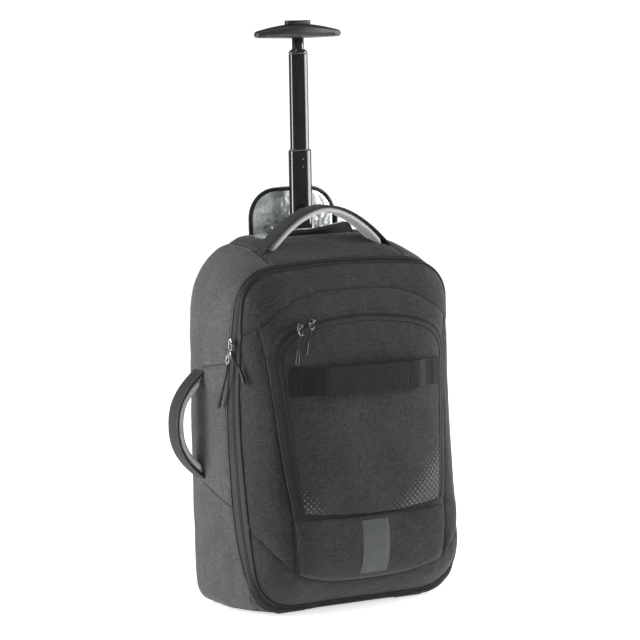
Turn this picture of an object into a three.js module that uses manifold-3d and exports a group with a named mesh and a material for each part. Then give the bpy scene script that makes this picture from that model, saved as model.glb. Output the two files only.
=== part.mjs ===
// A cabin-size wheeled backpack of grey fabric: a hollow soft body of sewn panels on a moulded wheel chassis,
// with a zipped front, a front pocket, two padded carry handles and a pull-out trolley pole with a T grip.
// Millimetres, +Z up. The bag faces -Y, its back and its wheels are at +Y, and it stands on the floor at Z = 0.
import * as THREE from "three";
import { mergeVertices } from "three/addons/utils/BufferGeometryUtils.js";
import Module from "manifold-3d";

const wasm = await Module();
wasm.setup();

// Soft body
const bagWidth = 350; // across the side panels at their widest
const bagHeight = 530; // floor to the top of the back edge
const backReach = 114; // from the pole-to-front middle line back to the back panel's face
const frontReach = 120; // from the same line forward to the front panel at its fullest
const baseLift = 2; // floor to the underside of the base
const wall = 3; // foam-backed fabric
const bandGap = 1; // between the zip band's edges and the panels beside it
const bandInset = 1; // the zip band lies this much below the panels beside it
const seamGap = 0.4; // between two panels that are sewn edge to edge
const seat = 0.3; // between a piece and what it is sewn or screwed to
const sideBulge = 3; // how far the side panels swell at half height

// Front pocket, lower pocket and what is sewn on them
const pocketDepth = 17; // pocket face in front of the panel, at its middle
const pocketEdgeRise = 7; // pocket face in front of the panel, at its zip
const pocketWall = 2;
const pocketZipWidth = 13;
const lowerPocketDepth = 9;
const lowerPocketEdgeRise = 5;
const lowerPocketBevel = 6;
const lowerPocketGap = 2; // its foot above the lower seam
const lowerPocketWall = 2;
const patchWidth = 44;
const patchThickness = 1;
const patchGap = 0.4;
const strapWidth = 38; // webbing across the pocket
const strapThickness = 1.6;
const strapHeight = 0.63 * bagHeight; // floor to the strap's middle
const strapHalfLength = 126;
const strapTack = 93; // from the middle to where the loop is tacked down
const strapLoopDepth = 9; // how far the loop stands off the pocket

// Carry handles
const handleWidth = 30;
const handleStrapThickness = 3;
const handlePadThickness = 6;
const handlePadInset = 2; // the padding is this much narrower than the strap on each side
const handlePadLift = 2.3; // where the padding's ends are cut, above the skin
const handleFlange = 12; // flat end that is sewn into the seam
const topHandleY = 13;
const topHandleHalfSpan = 110;
const topHandleRise = 66;
const topHandleArch = 1.85; // 2 is a parabola; less is more pointed
const sideHandleY = 66;
const sideHandleMiddle = 263; // height of its middle
const sideHandleHalfSpan = 78;
const sideHandleReach = 44;
const sideHandleArch = 2.4;

// Trolley pocket in the top, its lip and its flap
const wellHalfWidth = 76;
const wellFront = 54; // Y of its front wall
const wellBack = 93;
const wellFloor = 452; // height of its floor
const wellWall = 1.6;
const lipHeight = 11; // how far the front lip stands up out of the top
const lipThickness = 2;
const flapHalfWidth = 72;
const flapHeight = 82;
const flapCorner = 44;
const flapThickness = 3;
const flapLean = 2; // degrees, backwards
const flapZipWidth = 5;

// Trolley pole: stadium-section tubes, width across X by depth along Y
const poleY = 73;
const tubeWall = 1.4;
const tubeGap = 0.35; // between a tube and the guide that it runs in
const stageSideGap = 1.35; // between a tube's sides and the next tube round it
const stageFaceGap = 0.8; // the same at its front and back
const guideLength = 22;
const slideFootHeight = 14;
const upperTube = { width: 28.5, depth: 16.6, bottom: 496, top: 785 };
const lowerTube = {
  width: upperTube.width + 2 * (tubeWall + stageSideGap),
  depth: upperTube.depth + 2 * (tubeWall + stageFaceGap),
  bottom: 332,
  top: 646,
};
const baseTube = {
  width: lowerTube.width + 2 * (tubeWall + stageSideGap),
  depth: lowerTube.depth + 2 * (tubeWall + stageFaceGap),
  bottom: 12,
  top: 452,
};
const collarFlange = 7;
const collarHeight = 5;
const neckWidth = 17;
const neckDepth = 13;
const shoulderHeight = 6;
const gripHalfWidth = 70;
const neckLength = 23; // upper tube's top to the grip's underside
const gripBottom = upperTube.top + neckLength;
const gripHeight = 21;
const gripDepth = 32;
const gripEndHeight = 9;
const gripEndDepth = 15;
const buttonHalfWidth = 20;
const buttonDepth = 19;
const buttonProud = 4.5;
const buttonSunk = 6;

// Wheels and chassis
const wheelRadius = 32;
const wheelWidth = 22;
const wheelX = 132;
const wheelY = 98;
const hubRadius = 21;
const tyreGap = 0.35;
const axleRadius = 4;
const axleGap = 0.35;
const wheelSideGap = 3;
const wheelTopGap = 4;
const wheelFacets = 24;
const cheek = 5; // chassis wall on each side of a wheel
const chassisBack = 127; // Y of its rear face
const chassisFront = 48;
const housingFront = 57;
const chassisHeight = 68;
const chassisPlate = 4;
const ledgeReach = 18; // top ledge that the back panel is sewn down to
const chassisClear = 5; // floor to its underside
const footTuck = 6; // how far a foot reaches up into the base
const footLength = 46;
const footDepth = 16;
const footX = 98;
const footY = -38;

// Harness cover on the back panel
const coverHalfWidth = 112;
const coverBottom = 96;
const coverTop = 446;
const coverThickness = 8;
const coverCorner = 34;

// Zip pulls
const sliderLength = 11;
const sliderWidth = 8;
const sliderThickness = 4;
const pullCord = 1.5; // radius
const pullTip = 2.8; // radius
const pullTipShare = 0.42; // of the cord's length
const pullStandOff = 4; // about how far a hanging pull stands off its zip

const halfWidth = bagWidth / 2;
const bagBottom = baseLift;
const FAR = 400; // a cutter reaches this far past the bag

const fabric = material("side_fabric", 0x747273, 0.85);
const frontFabric = material("front_fabric", 0x5a5758, 0.85);
const darkFabric = material("dark_fabric", 0x2f3233, 0.8);
const zipTape = material("zip_tape", 0x2c3234, 0.7);
const webbing = material("webbing", 0x2b3031, 0.75);
const meshPadding = material("mesh_padding", 0xa3a1a0, 0.8);
const silverLining = material("silver_lining", 0xb4bcbd, 0.3, 0.7);
const patchFilm = material("patch_film", 0x5b6063, 0.5);
const poleMetal = material("pole_metal", 0x121416, 0.15, 0.4);
const gripPlastic = material("grip_plastic", 0x202426, 0.45);
const chassisPlastic = material("chassis_plastic", 0x1c1e20, 0.55);
const tyreRubber = material("tyre_rubber", 0x161718, 0.7);
const hubPlastic = material("hub_plastic", 0x55595c, 0.5);
const pullPlastic = material("pull_plastic", 0x17191b, 0.5);

// The bag's sections from the back edge forward. back is how far in front of the back panel the section lies; the
// rest are shares: width and across of half the bag's width, top, down, bottom and foot of its height.
const backSections = [
  { back: 0, width: 0.74, top: 0.92, across: 0.52, down: 0.15, bottom: 0.085, foot: 0.05 },
  { back: 3, width: 0.86, top: 0.957, across: 0.57, down: 0.165, bottom: 0.05, foot: 0.05 },
  { back: 11, width: 0.955, top: 0.988, across: 0.63, down: 0.18, bottom: 0.024, foot: 0.048 },
  { back: 26, width: 0.995, top: 1, across: 0.66, down: 0.187, bottom: 0.008, foot: 0.046 },
  { back: 62, width: 1, top: 0.992, across: 0.62, down: 0.17, bottom: 0.005, foot: 0.045 },
  { back: 96, width: 0.999, top: 0.972, across: 0.5, down: 0.145, bottom: 0.004, foot: 0.045 },
];
const zipSection = {
  width: 0.985, top: 0.938, across: 0.36, down: 0.112, bottom: 0.006, foot: 0.1, crown: 0.009,
};
const rimSection = {
  width: 0.966, top: 0.926, across: 0.3, down: 0.098, bottom: 0.024, foot: 0.118, crown: 0.011,
};

// Side view of the front, at shares of the bag's height: where the main zip, the front panel's rim and the front
// panel's middle lie, as shares of frontReach.
const sideProfile = [
  { height: 0, zip: 0.45, rim: 0.5, crown: 0.6 },
  { height: 0.03, zip: 0.46, rim: 0.52, crown: 0.76 },
  { height: 0.08, zip: 0.47, rim: 0.56, crown: 0.9 },
  { height: 0.13, zip: 0.31, rim: 0.56, crown: 0.93 },
  { height: 0.17, zip: 0.24, rim: 0.53, crown: 0.93 },
  { height: 0.27, zip: 0.16, rim: 0.46, crown: 0.9 },
  { height: 0.4, zip: 0.1, rim: 0.38, crown: 0.83 },
  { height: 0.59, zip: 0.08, rim: 0.32, crown: 0.76 },
  { height: 0.79, zip: 0.22, rim: 0.38, crown: 0.68 },
  { height: 0.93, zip: 0.265, rim: 0.375, crown: 0.61 },
  { height: 1, zip: 0.265, rim: 0.375, crown: 0.6 },
];
const faceFullness = 8; // a higher power keeps the front flatter and its edge rounder
const frontRings = [0.97, 0.92, 0.83, 0.68, 0.36];
const skinMiddle = 0.48; // height share of the point that the front's rings close on

// Seams of the front panel. Heights are shares of the bag's height, across of half its width.
const yokeSeam = [
  { across: 0, height: 0.862 },
  { across: 0.35, height: 0.858 },
  { across: 0.55, height: 0.842 },
  { across: 0.72, height: 0.812 },
  { across: 0.87, height: 0.775 },
  { across: 1.02, height: 0.741 },
];
const lowerSeam = [
  { across: 0, height: 0.083 },
  { across: 0.35, height: 0.088 },
  { across: 0.57, height: 0.104 },
  { across: 0.7, height: 0.125 },
  { across: 0.84, height: 0.17 },
  { across: 0.94, height: 0.222 },
  { across: 1.02, height: 0.283 },
];
const pocketSeam = [
  { height: 0.06, across: 0.7 },
  { height: 0.283, across: 0.726 },
  { height: 0.5, across: 0.797 },
  { height: 0.7, across: 0.848 },
  { height: 0.787, across: 0.897 },
  { height: 0.87, across: 0.95 },
];

// The front pocket's and the lower pocket's outlines, from the bottom up, in the same shares.
const pocketSide = [
  { height: 0.286, across: 0.71 },
  { height: 0.358, across: 0.742 },
  { height: 0.532, across: 0.79 },
  { height: 0.66, across: 0.823 },
  { height: 0.71, across: 0.828 },
  { height: 0.742, across: 0.785 },
  { height: 0.766, across: 0.7 },
  { height: 0.786, across: 0.52 },
  { height: 0.799, across: 0.26 },
];
const pocketApex = 0.804;
const pocketHem = { middle: 0.268, rise: 0.018 }; // its lower edge, and how much higher that is at the sides
const lowerPocketSide = [
  { height: 0.122, across: 0.68 },
  { height: 0.18, across: 0.692 },
  { height: 0.28, across: 0.706 },
];
const patchBottom = 0.106;

// The zip pulls from their sliders down. forward is a share of frontReach, across of half the width, height of the
// bag's height, and out counts pullStandOff away from the zip.
const mainPullFront = [
  { forward: 0.25, height: 0.734, out: 0 },
  { forward: 0.342, height: 0.7, out: 1 },
  { forward: 0.408, height: 0.662, out: -0.75 },
  { forward: 0.458, height: 0.626, out: -1.5 },
];
const mainPullBack = [
  { forward: 0.217, height: 0.7, out: 0 },
  { forward: 0.183, height: 0.645, out: 1 },
  { forward: 0.075, height: 0.596, out: 1.5 },
  { forward: -0.008, height: 0.555, out: 1.5 },
];
const pocketPullLeft = [
  { across: -0.583, height: 0.772, out: 0.25 },
  { across: -0.617, height: 0.743, out: 2.25 },
  { across: -0.646, height: 0.711, out: 2.5 },
  { across: -0.669, height: 0.676, out: 2.5 },
];
const pocketPullRight = [
  { across: -0.474, height: 0.783, out: 0.25 },
  { across: -0.52, height: 0.762, out: 2 },
  { across: -0.56, height: 0.736, out: 2.75 },
  { across: -0.594, height: 0.7, out: 3 },
];
const pocketPullTurn = 1.2; // radians that their sliders are turned, to lie along the pocket's zip

function material(name, color, roughness, metalness = 0) {
  return new THREE.MeshStandardMaterial({ name, color, roughness, metalness });
}

// Joins and cuts
function solid(geometry) {
  const bare = new THREE.BufferGeometry();
  bare.setAttribute("position", geometry.getAttribute("position").clone());
  if (geometry.index) bare.setIndex(geometry.index.clone());
  const merged = mergeVertices(bare.index ? bare.toNonIndexed() : bare, 1e-3);
  const triVerts = new Uint32Array(merged.index.array);
  const made = new wasm.Manifold(
    new wasm.Mesh({ numProp: 3, vertProperties: merged.attributes.position.array, triVerts }),
  );
  if (made.volume() > 0) return made;
  for (let i = 0; i < triVerts.length; i += 3) {
    [triVerts[i + 1], triVerts[i + 2]] = [triVerts[i + 2], triVerts[i + 1]];
  }
  return new wasm.Manifold(
    new wasm.Mesh({ numProp: 3, vertProperties: merged.attributes.position.array, triVerts }),
  );
}

function geometryOf(manifold) {
  const { vertProperties, triVerts } = manifold.getMesh();
  const geometry = new THREE.BufferGeometry();
  geometry.setAttribute("position", new THREE.BufferAttribute(vertProperties, 3));
  geometry.setIndex(new THREE.BufferAttribute(triVerts, 1));
  return geometry;
}

// The largest body of a solid: a cut can leave a crumb.
function largest(manifold) {
  return manifold.decompose().sort((a, b) => b.volume() - a.volume())[0];
}

const bag = new THREE.Group();

function place(name, shape, finish) {
  const mesh = new THREE.Mesh(geometryOf(largest(shape)), finish);
  mesh.name = name;
  bag.add(mesh);
  return mesh;
}

// Solid shapes
function box(x0, x1, y0, y1, z0, z1) {
  const geometry = new THREE.BoxGeometry(x1 - x0, y1 - y0, z1 - z0);
  return solid(geometry.translate((x0 + x1) / 2, (y0 + y1) / 2, (z0 + z1) / 2));
}

function shapeOf(points) {
  return new THREE.Shape(points.map(([u, v]) => new THREE.Vector2(u, v)));
}

// An outline of [x, z] points, extruded from y0 to y1.
function slabFront(points, y0, y1) {
  const geometry = new THREE.ExtrudeGeometry(shapeOf(points), { depth: y1 - y0, bevelEnabled: false });
  return solid(geometry.rotateX(Math.PI / 2).translate(0, y1, 0));
}

// An outline of [y, z] points, extruded from x0 to x1.
function slabSide(points, x0, x1) {
  const geometry = new THREE.ExtrudeGeometry(shapeOf(points), { depth: x1 - x0, bevelEnabled: false });
  const turn = new THREE.Matrix4().makeBasis(
    new THREE.Vector3(0, 1, 0),
    new THREE.Vector3(0, 0, 1),
    new THREE.Vector3(1, 0, 0),
  );
  return solid(geometry.applyMatrix4(turn).translate(x0, 0, 0));
}

// An outline of [x, y] points, extruded from z0 to z1.
function slabUp(points, z0, z1) {
  const geometry = new THREE.ExtrudeGeometry(shapeOf(points), { depth: z1 - z0, bevelEnabled: false });
  return solid(geometry.translate(0, 0, z0));
}

// The faces between neighbouring rings of points, each ring round the same way. With ends the first and the last
// ring close on a point each; without, the last ring joins the first.
function loft(rings, ends) {
  const points = rings.flat();
  const count = rings[0].length;
  const index = [];
  const at = (ring, i) => (ring % rings.length) * count + (i % count);
  const joins = ends ? rings.length - 1 : rings.length;
  for (let i = 0; i < count; i += 1)
    for (let ring = 0; ring < joins; ring += 1) {
      index.push(at(ring, i), at(ring, i + 1), at(ring + 1, i + 1));
      index.push(at(ring, i), at(ring + 1, i + 1), at(ring + 1, i));
    }
  if (ends)
    for (let i = 0; i < count; i += 1) {
      index.push(points.length, at(0, i + 1), at(0, i));
      index.push(points.length + 1, at(rings.length - 1, i), at(rings.length - 1, i + 1));
    }
  const geometry = new THREE.BufferGeometry().setFromPoints(ends ? [...points, ...ends] : points);
  geometry.setIndex(index);
  geometry.computeVertexNormals();
  return geometry;
}

// A surface that loft made, as rings and ends again, moved outwards along its normals.
function ringsOf(geometry, count, by) {
  const position = grown(geometry, by).getAttribute("position");
  const points = [];
  for (let i = 0; i < position.count; i += 1) points.push(new THREE.Vector3().fromBufferAttribute(position, i));
  const ends = points.splice(points.length - 2, 2);
  const rings = [];
  while (points.length) rings.push(points.splice(0, count));
  return { rings, ends };
}

// The same surface moved outwards along its normals.
function grown(geometry, by) {
  const moved = geometry.clone();
  const position = moved.getAttribute("position");
  const normal = geometry.getAttribute("normal");
  const outward = signedVolume(geometry) > 0 ? by : -by;
  for (let i = 0; i < position.count; i += 1)
    position.setXYZ(
      i,
      position.getX(i) + outward * normal.getX(i),
      position.getY(i) + outward * normal.getY(i),
      position.getZ(i) + outward * normal.getZ(i),
    );
  return moved;
}

function signedVolume(geometry) {
  const position = geometry.getAttribute("position");
  const corner = (i) => new THREE.Vector3().fromBufferAttribute(position, geometry.index.getX(i));
  let sum = 0;
  for (let i = 0; i < geometry.index.count; i += 3) {
    sum += corner(i).dot(corner(i + 1).cross(corner(i + 2)));
  }
  return sum / 6;
}

// A smooth value from a table, at a share between two of its rows.
function lookUp(table, key, value, at) {
  const last = table.length - 1;
  const share = THREE.MathUtils.clamp(at, table[0][key], table[last][key]);
  let i = 0;
  while (i < last - 1 && table[i + 1][key] < share) i += 1;
  const slope = (k) => {
    const a = table[Math.max(0, k - 1)];
    const b = table[Math.min(last, k + 1)];
    return (b[value] - a[value]) / (b[key] - a[key]);
  };
  const span = table[i + 1][key] - table[i][key];
  const t = (share - table[i][key]) / span;
  return (
    table[i][value] * (1 + 2 * t) * (1 - t) ** 2 +
    slope(i) * span * t * (1 - t) ** 2 +
    table[i + 1][value] * t * t * (3 - 2 * t) +
    slope(i + 1) * span * t * t * (t - 1)
  );
}

const profileY = (column, z) => -frontReach * lookUp(sideProfile, "height", column, z / bagHeight);

// The skin: one closed surface, from the back panel's middle round the sides to the front panel's middle
const steps = { bottom: 2, foot: 4, side: 6, corner: 5, top: 3 };

// A section's outline in the front view as [x, z] points, from the bottom's middle round by +X.
function outline(section) {
  const half = section.width * halfWidth;
  const bottom = Math.max(section.bottom * bagHeight, bagBottom);
  const foot = section.foot * bagHeight;
  const across = section.across * halfWidth;
  const down = section.down * bagHeight;
  const crown = (section.crown ?? 0) * bagHeight;
  const shoulder = section.top * bagHeight - crown;
  const right = [[0, bottom]];
  for (let i = 1; i <= steps.bottom; i += 1) right.push([((half - foot) * i) / steps.bottom, bottom]);
  for (let i = 1; i <= steps.foot; i += 1) {
    const angle = (Math.PI / 2) * (i / steps.foot);
    right.push([half - foot + foot * Math.sin(angle), bottom + foot - foot * Math.cos(angle)]);
  }
  const low = bottom + foot;
  const high = shoulder - down;
  for (let i = 1; i <= steps.side; i += 1) {
    const t = i / steps.side;
    right.push([half + sideBulge * Math.sin(Math.PI * t), low + (high - low) * t]);
  }
  for (let i = 1; i <= steps.corner; i += 1) {
    const angle = (Math.PI / 2) * (i / steps.corner);
    right.push([half - across + across * Math.cos(angle), high + down * Math.sin(angle)]);
  }
  for (let i = 1; i <= steps.top; i += 1) {
    const t = 1 - i / steps.top;
    right.push([(half - across) * t, shoulder + crown * (1 - t * t)]);
  }
  const left = right.slice(1, -1).reverse();
  return [...right, ...left.map(([x, z]) => [-x, z])];
}

const rimOutline = outline(rimSection);
const skinCentre = [0, skinMiddle * bagHeight];

// How far out a point of the front view lies: 0 at the skin's middle, 1 on the rim, with the rim's height there.
function outwardness(x, z) {
  const dx = x - skinCentre[0];
  const dz = z - skinCentre[1];
  if (Math.hypot(dx, dz) < 1e-6) return { share: 0, rimZ: skinCentre[1] };
  for (let i = 0; i < rimOutline.length; i += 1) {
    const [ax, az] = rimOutline[i];
    const [bx, bz] = rimOutline[(i + 1) % rimOutline.length];
    const cross = dx * (bz - az) - dz * (bx - ax);
    if (Math.abs(cross) < 1e-12) continue;
    const reach = ((ax - skinCentre[0]) * (bz - az) - (az - skinCentre[1]) * (bx - ax)) / cross;
    const along = ((ax - skinCentre[0]) * dz - (az - skinCentre[1]) * dx) / cross;
    if (reach > 0 && along >= -1e-9 && along <= 1 + 1e-9) {
      return { share: 1 / reach, rimZ: az + (bz - az) * along };
    }
  }
  return { share: 1, rimZ: z };
}

function frontY(x, z) {
  const { share, rimZ } = outwardness(x, z);
  const rim = profileY("rim", rimZ);
  return rim + (profileY("crown", z) - rim) * (1 - Math.min(share, 1) ** faceFullness);
}

function skin() {
  const rings = backSections.map((section) =>
    outline(section).map(([x, z]) => new THREE.Vector3(x, backReach - section.back, z)),
  );
  rings.push(outline(zipSection).map(([x, z]) => new THREE.Vector3(x, profileY("zip", z), z)));
  rings.push(rimOutline.map(([x, z]) => new THREE.Vector3(x, profileY("rim", z), z)));
  for (const share of frontRings)
    rings.push(
      rimOutline.map(([x, z]) => {
        const u = skinCentre[0] + (x - skinCentre[0]) * share;
        const v = skinCentre[1] + (z - skinCentre[1]) * share;
        return new THREE.Vector3(u, frontY(u, v), v);
      }),
    );
  const first = new THREE.Vector3(0, backReach, skinCentre[1]);
  const last = new THREE.Vector3(0, frontY(...skinCentre), skinCentre[1]);
  return loft(rings, [first, last]);
}

const skinSurface = skin();
const clearOutside = solid(grown(skinSurface, seat));
const clearBand = solid(grown(skinSurface, seat - bandInset));
const zipRing = backSections.length;
const rimRing = zipRing + 1;
const skinOuter = ringsOf(skinSurface, rimOutline.length, 0);
const skinInner = ringsOf(skinSurface, rimOutline.length, -wall);
const skinSunk = ringsOf(skinSurface, rimOutline.length, -bandInset);

// Hollow parts of a surface, from the rings of its outer and its inner face and the points that they close on. One
// is open at the last of its rings, the other at the first.
function openAhead(outerRings, outerEnd, innerRings, innerEnd) {
  return solid(loft([...outerRings, ...innerRings.slice().reverse()], [outerEnd, innerEnd]));
}

function openBehind(outerRings, outerEnd, innerRings, innerEnd) {
  return solid(loft([...innerRings.slice().reverse(), ...outerRings], [innerEnd, outerEnd]));
}

const forwardBy = (ring, forward) => ring.map((point) => new THREE.Vector3(point.x, point.y - forward, point.z));

// Everything above a seam of the front view, raised by an offset.
function above(seam, raise = 0) {
  const rows = seam.map(({ across, height }) => [across * halfWidth, height * bagHeight + raise]);
  const edgeZ = rows[rows.length - 1][1];
  const right = [...rows, [FAR, edgeZ], [FAR, FAR + bagHeight]];
  const left = rows.slice(1).reverse().map(([x, z]) => [-x, z]);
  return slabFront([...right, [-FAR, FAR + bagHeight], [-FAR, edgeZ], ...left], -FAR, FAR);
}

// Everything between the two long seams beside the pocket, widened by an offset.
function betweenSeams(widen = 0) {
  const right = pocketSeam.map(({ across, height }) => [across * halfWidth + widen, height * bagHeight]);
  const low = [right[0][0], -FAR];
  const high = [right[right.length - 1][0], bagHeight + FAR];
  const side = [low, ...right, high];
  return slabFront([...side, ...side.slice().reverse().map(([x, z]) => [-x, z])], -FAR, FAR);
}

// The chassis, the wheel wells and the pieces round them take this space out of the fabric.
const chassisHalfWidth = wheelX + wheelWidth / 2 + wheelSideGap + cheek;
const chassisSpace = box(
  -chassisHalfWidth - seat,
  chassisHalfWidth + seat,
  chassisFront - seat,
  FAR,
  -FAR,
  chassisHeight + seat,
);
const wellSpace = box(
  -wellHalfWidth - wellWall - seat,
  wellHalfWidth + wellWall + seat,
  wellFront - wellWall - seat,
  wellBack + wellWall + seat,
  wellFloor - wellWall - seat,
  FAR + bagHeight,
);

// Back, side, top and base panels, and the zip band
const topSeamX = 0.64 * halfWidth;
const backSeamY = backReach - 8;
const topSeamZ = 0.6 * bagHeight;
const baseSeamZ = bagBottom + 5;
const baseCornerBack = -36;
const baseCornerFront = -56;
const baseCornerTop = 45;

function bodyPanels() {
  const rings = (surface) => surface.rings.slice(0, rimRing);
  const rear = openAhead(rings(skinOuter), skinOuter.ends[0], rings(skinInner), skinInner.ends[0])
    .subtract(chassisSpace)
    .subtract(wellSpace);
  const behind = (gap) => box(-FAR, FAR, backSeamY + gap, FAR, -FAR, FAR + bagHeight);
  // Below this the fabric belongs to the base, which rises to the rim at the front corners.
  const low = (raise) =>
    slabSide(
      [
        [FAR, -FAR],
        [FAR, baseSeamZ + raise],
        [baseCornerBack, baseSeamZ + raise],
        [baseCornerFront, baseCornerTop + raise],
        [-FAR, baseCornerTop + raise],
        [-FAR, -FAR],
      ],
      -FAR,
      FAR,
    );
  const middle = (gap) => box(-topSeamX + gap, topSeamX - gap, -FAR, FAR, topSeamZ, FAR + bagHeight);
  place("back_panel", rear.intersect(behind(seamGap / 2)), darkFabric);
  const forward = rear.subtract(behind(-seamGap / 2));
  place("base_panel", forward.intersect(low(-seamGap / 2)), darkFabric);
  const upper = forward.subtract(low(seamGap / 2));
  place("top_panel", upper.intersect(middle(seamGap / 2)), frontFabric);
  const sides = upper.subtract(middle(-seamGap / 2));
  place("side_panel_left", sides.intersect(box(-FAR, -seamGap, -FAR, FAR, -FAR, FAR * 2)), fabric);
  place("side_panel_right", sides.intersect(box(seamGap, FAR, -FAR, FAR, -FAR, FAR * 2)), fabric);
  const edges = (surface) => [
    forwardBy(surface.rings[zipRing], bandGap),
    forwardBy(surface.rings[rimRing], -bandGap),
  ];
  place("main_zip_band", solid(loft([...edges(skinSunk), ...edges(skinInner).reverse()])), zipTape);
}

// The front panel's five pieces
function frontPanels() {
  const rings = (surface) => surface.rings.slice(rimRing);
  const front = openBehind(rings(skinOuter), skinOuter.ends[1], rings(skinInner), skinInner.ends[1]);
  const cut = seamGap / 2;
  place("front_yoke", front.intersect(above(yokeSeam, cut)), frontFabric);
  place("front_lower", front.subtract(above(lowerSeam, -cut)), frontFabric);
  const belt = front.intersect(above(lowerSeam, cut)).subtract(above(yokeSeam, -cut));
  place("front_middle", belt.intersect(betweenSeams(-cut)), frontFabric);
  const outer = belt.subtract(betweenSeams(cut));
  place("front_side_left", outer.intersect(box(-FAR, -1, -FAR, FAR, -FAR, FAR * 2)), frontFabric);
  place("front_side_right", outer.intersect(box(1, FAR, -FAR, FAR, -FAR, FAR * 2)), frontFabric);
}

// The pocket's outline as [x, z] points, drawn in by an inset.
function pocketOutline(inset) {
  const side = pocketSide.map(({ height, across }) => [across * halfWidth, height * bagHeight]);
  const middleZ = side[2][1];
  const squeeze = 1 - inset / side[2][0];
  const topZ = pocketApex * bagHeight;
  const hem = pocketHem.middle * bagHeight;
  const lift = (z) => middleZ + (z - middleZ) * (1 - inset / (topZ - middleZ));
  const right = [[0, hem], [side[0][0] * 0.5, hem + pocketHem.rise * bagHeight * 0.25]];
  right.push(...side);
  right.push([0, topZ]);
  const eased = right.map(([x, z]) => [x * squeeze, z > middleZ ? lift(z) : Math.max(z, hem)]);
  return [...eased, ...eased.slice(1, -1).reverse().map(([x, z]) => [-x, z])];
}

// The middle height of an outline, and how far a raised piece's face stands off the panel at a point of its face.
const middleOf = (points) => (Math.min(...points.map((p) => p[1])) + Math.max(...points.map((p) => p[1]))) / 2;
const riseAt = (share, edgeRise, depth) => edgeRise + (depth - edgeRise) * (1 - Math.min(share, 1) ** 3);

// A raised piece on the front: rings from behind the panel, up its edge and across its crowned face.
function raised(edge, face, edgeRise, depth) {
  const centre = [0, middleOf(face)];
  const behind = 8;
  const piping = 1.2;
  const rings = [
    edge.map(([x, z]) => new THREE.Vector3(x, frontY(x, z) + behind, z)),
    edge.map(([x, z]) => new THREE.Vector3(x, frontY(x, z) - piping, z)),
  ];
  for (const share of [1, 0.8, 0.5])
    rings.push(
      face.map(([x, z]) => {
        const u = centre[0] + (x - centre[0]) * share;
        const v = centre[1] + (z - centre[1]) * share;
        return new THREE.Vector3(u, frontY(u, v) - riseAt(share, edgeRise, depth), v);
      }),
    );
  const first = new THREE.Vector3(centre[0], frontY(...centre) + behind, centre[1]);
  const last = new THREE.Vector3(centre[0], frontY(...centre) - depth, centre[1]);
  return loft(rings, [first, last]);
}

// A ring of a raised piece drawn in towards its middle.
function drawnIn(ring, by) {
  const middle = middleOf(ring.map((point) => [point.x, point.z]));
  return ring.map((point) => {
    const step = new THREE.Vector3(-point.x, 0, middle - point.z).setLength(by);
    return point.clone().add(step);
  });
}

const pocketEdge = pocketOutline(0);
const pocketFace = pocketOutline(pocketZipWidth);
const pocketBody = raised(pocketEdge, pocketFace, pocketEdgeRise, pocketDepth);
const clearPocket = solid(grown(pocketBody, seat));
const faceRing = 2;

function frontPocket() {
  const outer = ringsOf(pocketBody, pocketEdge.length, 0);
  const inner = ringsOf(pocketBody, pocketEdge.length, -pocketWall);
  const bevel = (surface) => surface.rings.slice(0, faceRing + 1);
  const band = solid(loft([...bevel(outer), ...bevel(inner).reverse()]));
  place("pocket_zip_band", band.subtract(clearOutside), zipTape);
  const face = (surface) => {
    const [edge, ...rest] = surface.rings.slice(faceRing);
    return [drawnIn(edge, seamGap), ...rest];
  };
  place("pocket_panel", openBehind(face(outer), outer.ends[1], face(inner), inner.ends[1]), frontFabric);
}

const lowerPocketTop = pocketHem.middle * bagHeight - 1.1;

// The lower pocket's outline: straight sides, a round foot along the lower seam and a top edge under the pocket.
function lowerPocketOutline(inset) {
  const side = lowerPocketSide.map(({ height, across }) => [across * halfWidth - inset, height * bagHeight]);
  const right = [[0, lowerSeam[0].height * bagHeight + lowerPocketGap + inset]];
  for (const share of [0.3, 0.6, 0.85]) {
    const x = side[0][0] * share;
    const seam = lookUp(lowerSeam, "across", "height", x / halfWidth) * bagHeight;
    right.push([x, seam + lowerPocketGap + inset]);
  }
  const top = lowerPocketTop - inset;
  right.push(...side.map(([x, z]) => [x, Math.min(Math.max(z, right[3][1] + 4), top)]));
  right.push([side[0][0] * 0.5, top], [0, top]);
  return [...right, ...right.slice(1, -1).reverse().map(([x, z]) => [-x, z])];
}

const lowerFace = lowerPocketOutline(lowerPocketBevel);
const lowerBody = raised(lowerPocketOutline(0), lowerFace, lowerPocketEdgeRise, lowerPocketDepth);

function lowerPocket() {
  const outer = ringsOf(lowerBody, lowerFace.length, 0);
  const inner = ringsOf(lowerBody, lowerFace.length, -lowerPocketWall);
  const shell = openBehind(outer.rings, outer.ends[1], inner.rings, inner.ends[1]);
  place("lower_pocket", shell.subtract(clearOutside), frontFabric);
  const middle = middleOf(lowerFace);
  const reach = Math.max(...lowerFace.map((p) => p[1])) - middle;
  const count = 6;
  const line = [];
  for (let i = 0; i <= count; i += 1) {
    const z = patchBottom * bagHeight + ((lowerPocketTop - 8 - patchBottom * bagHeight) * i) / count;
    const rise = riseAt(Math.abs(z - middle) / reach, lowerPocketEdgeRise, lowerPocketDepth);
    line.push([frontY(0, z) - rise - patchGap, z]);
  }
  const front = line.map(([y, z]) => [y - patchThickness, z]).reverse();
  place("pocket_patch", slabSide([...line, ...front], -patchWidth / 2, patchWidth / 2), patchFilm);
}

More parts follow.
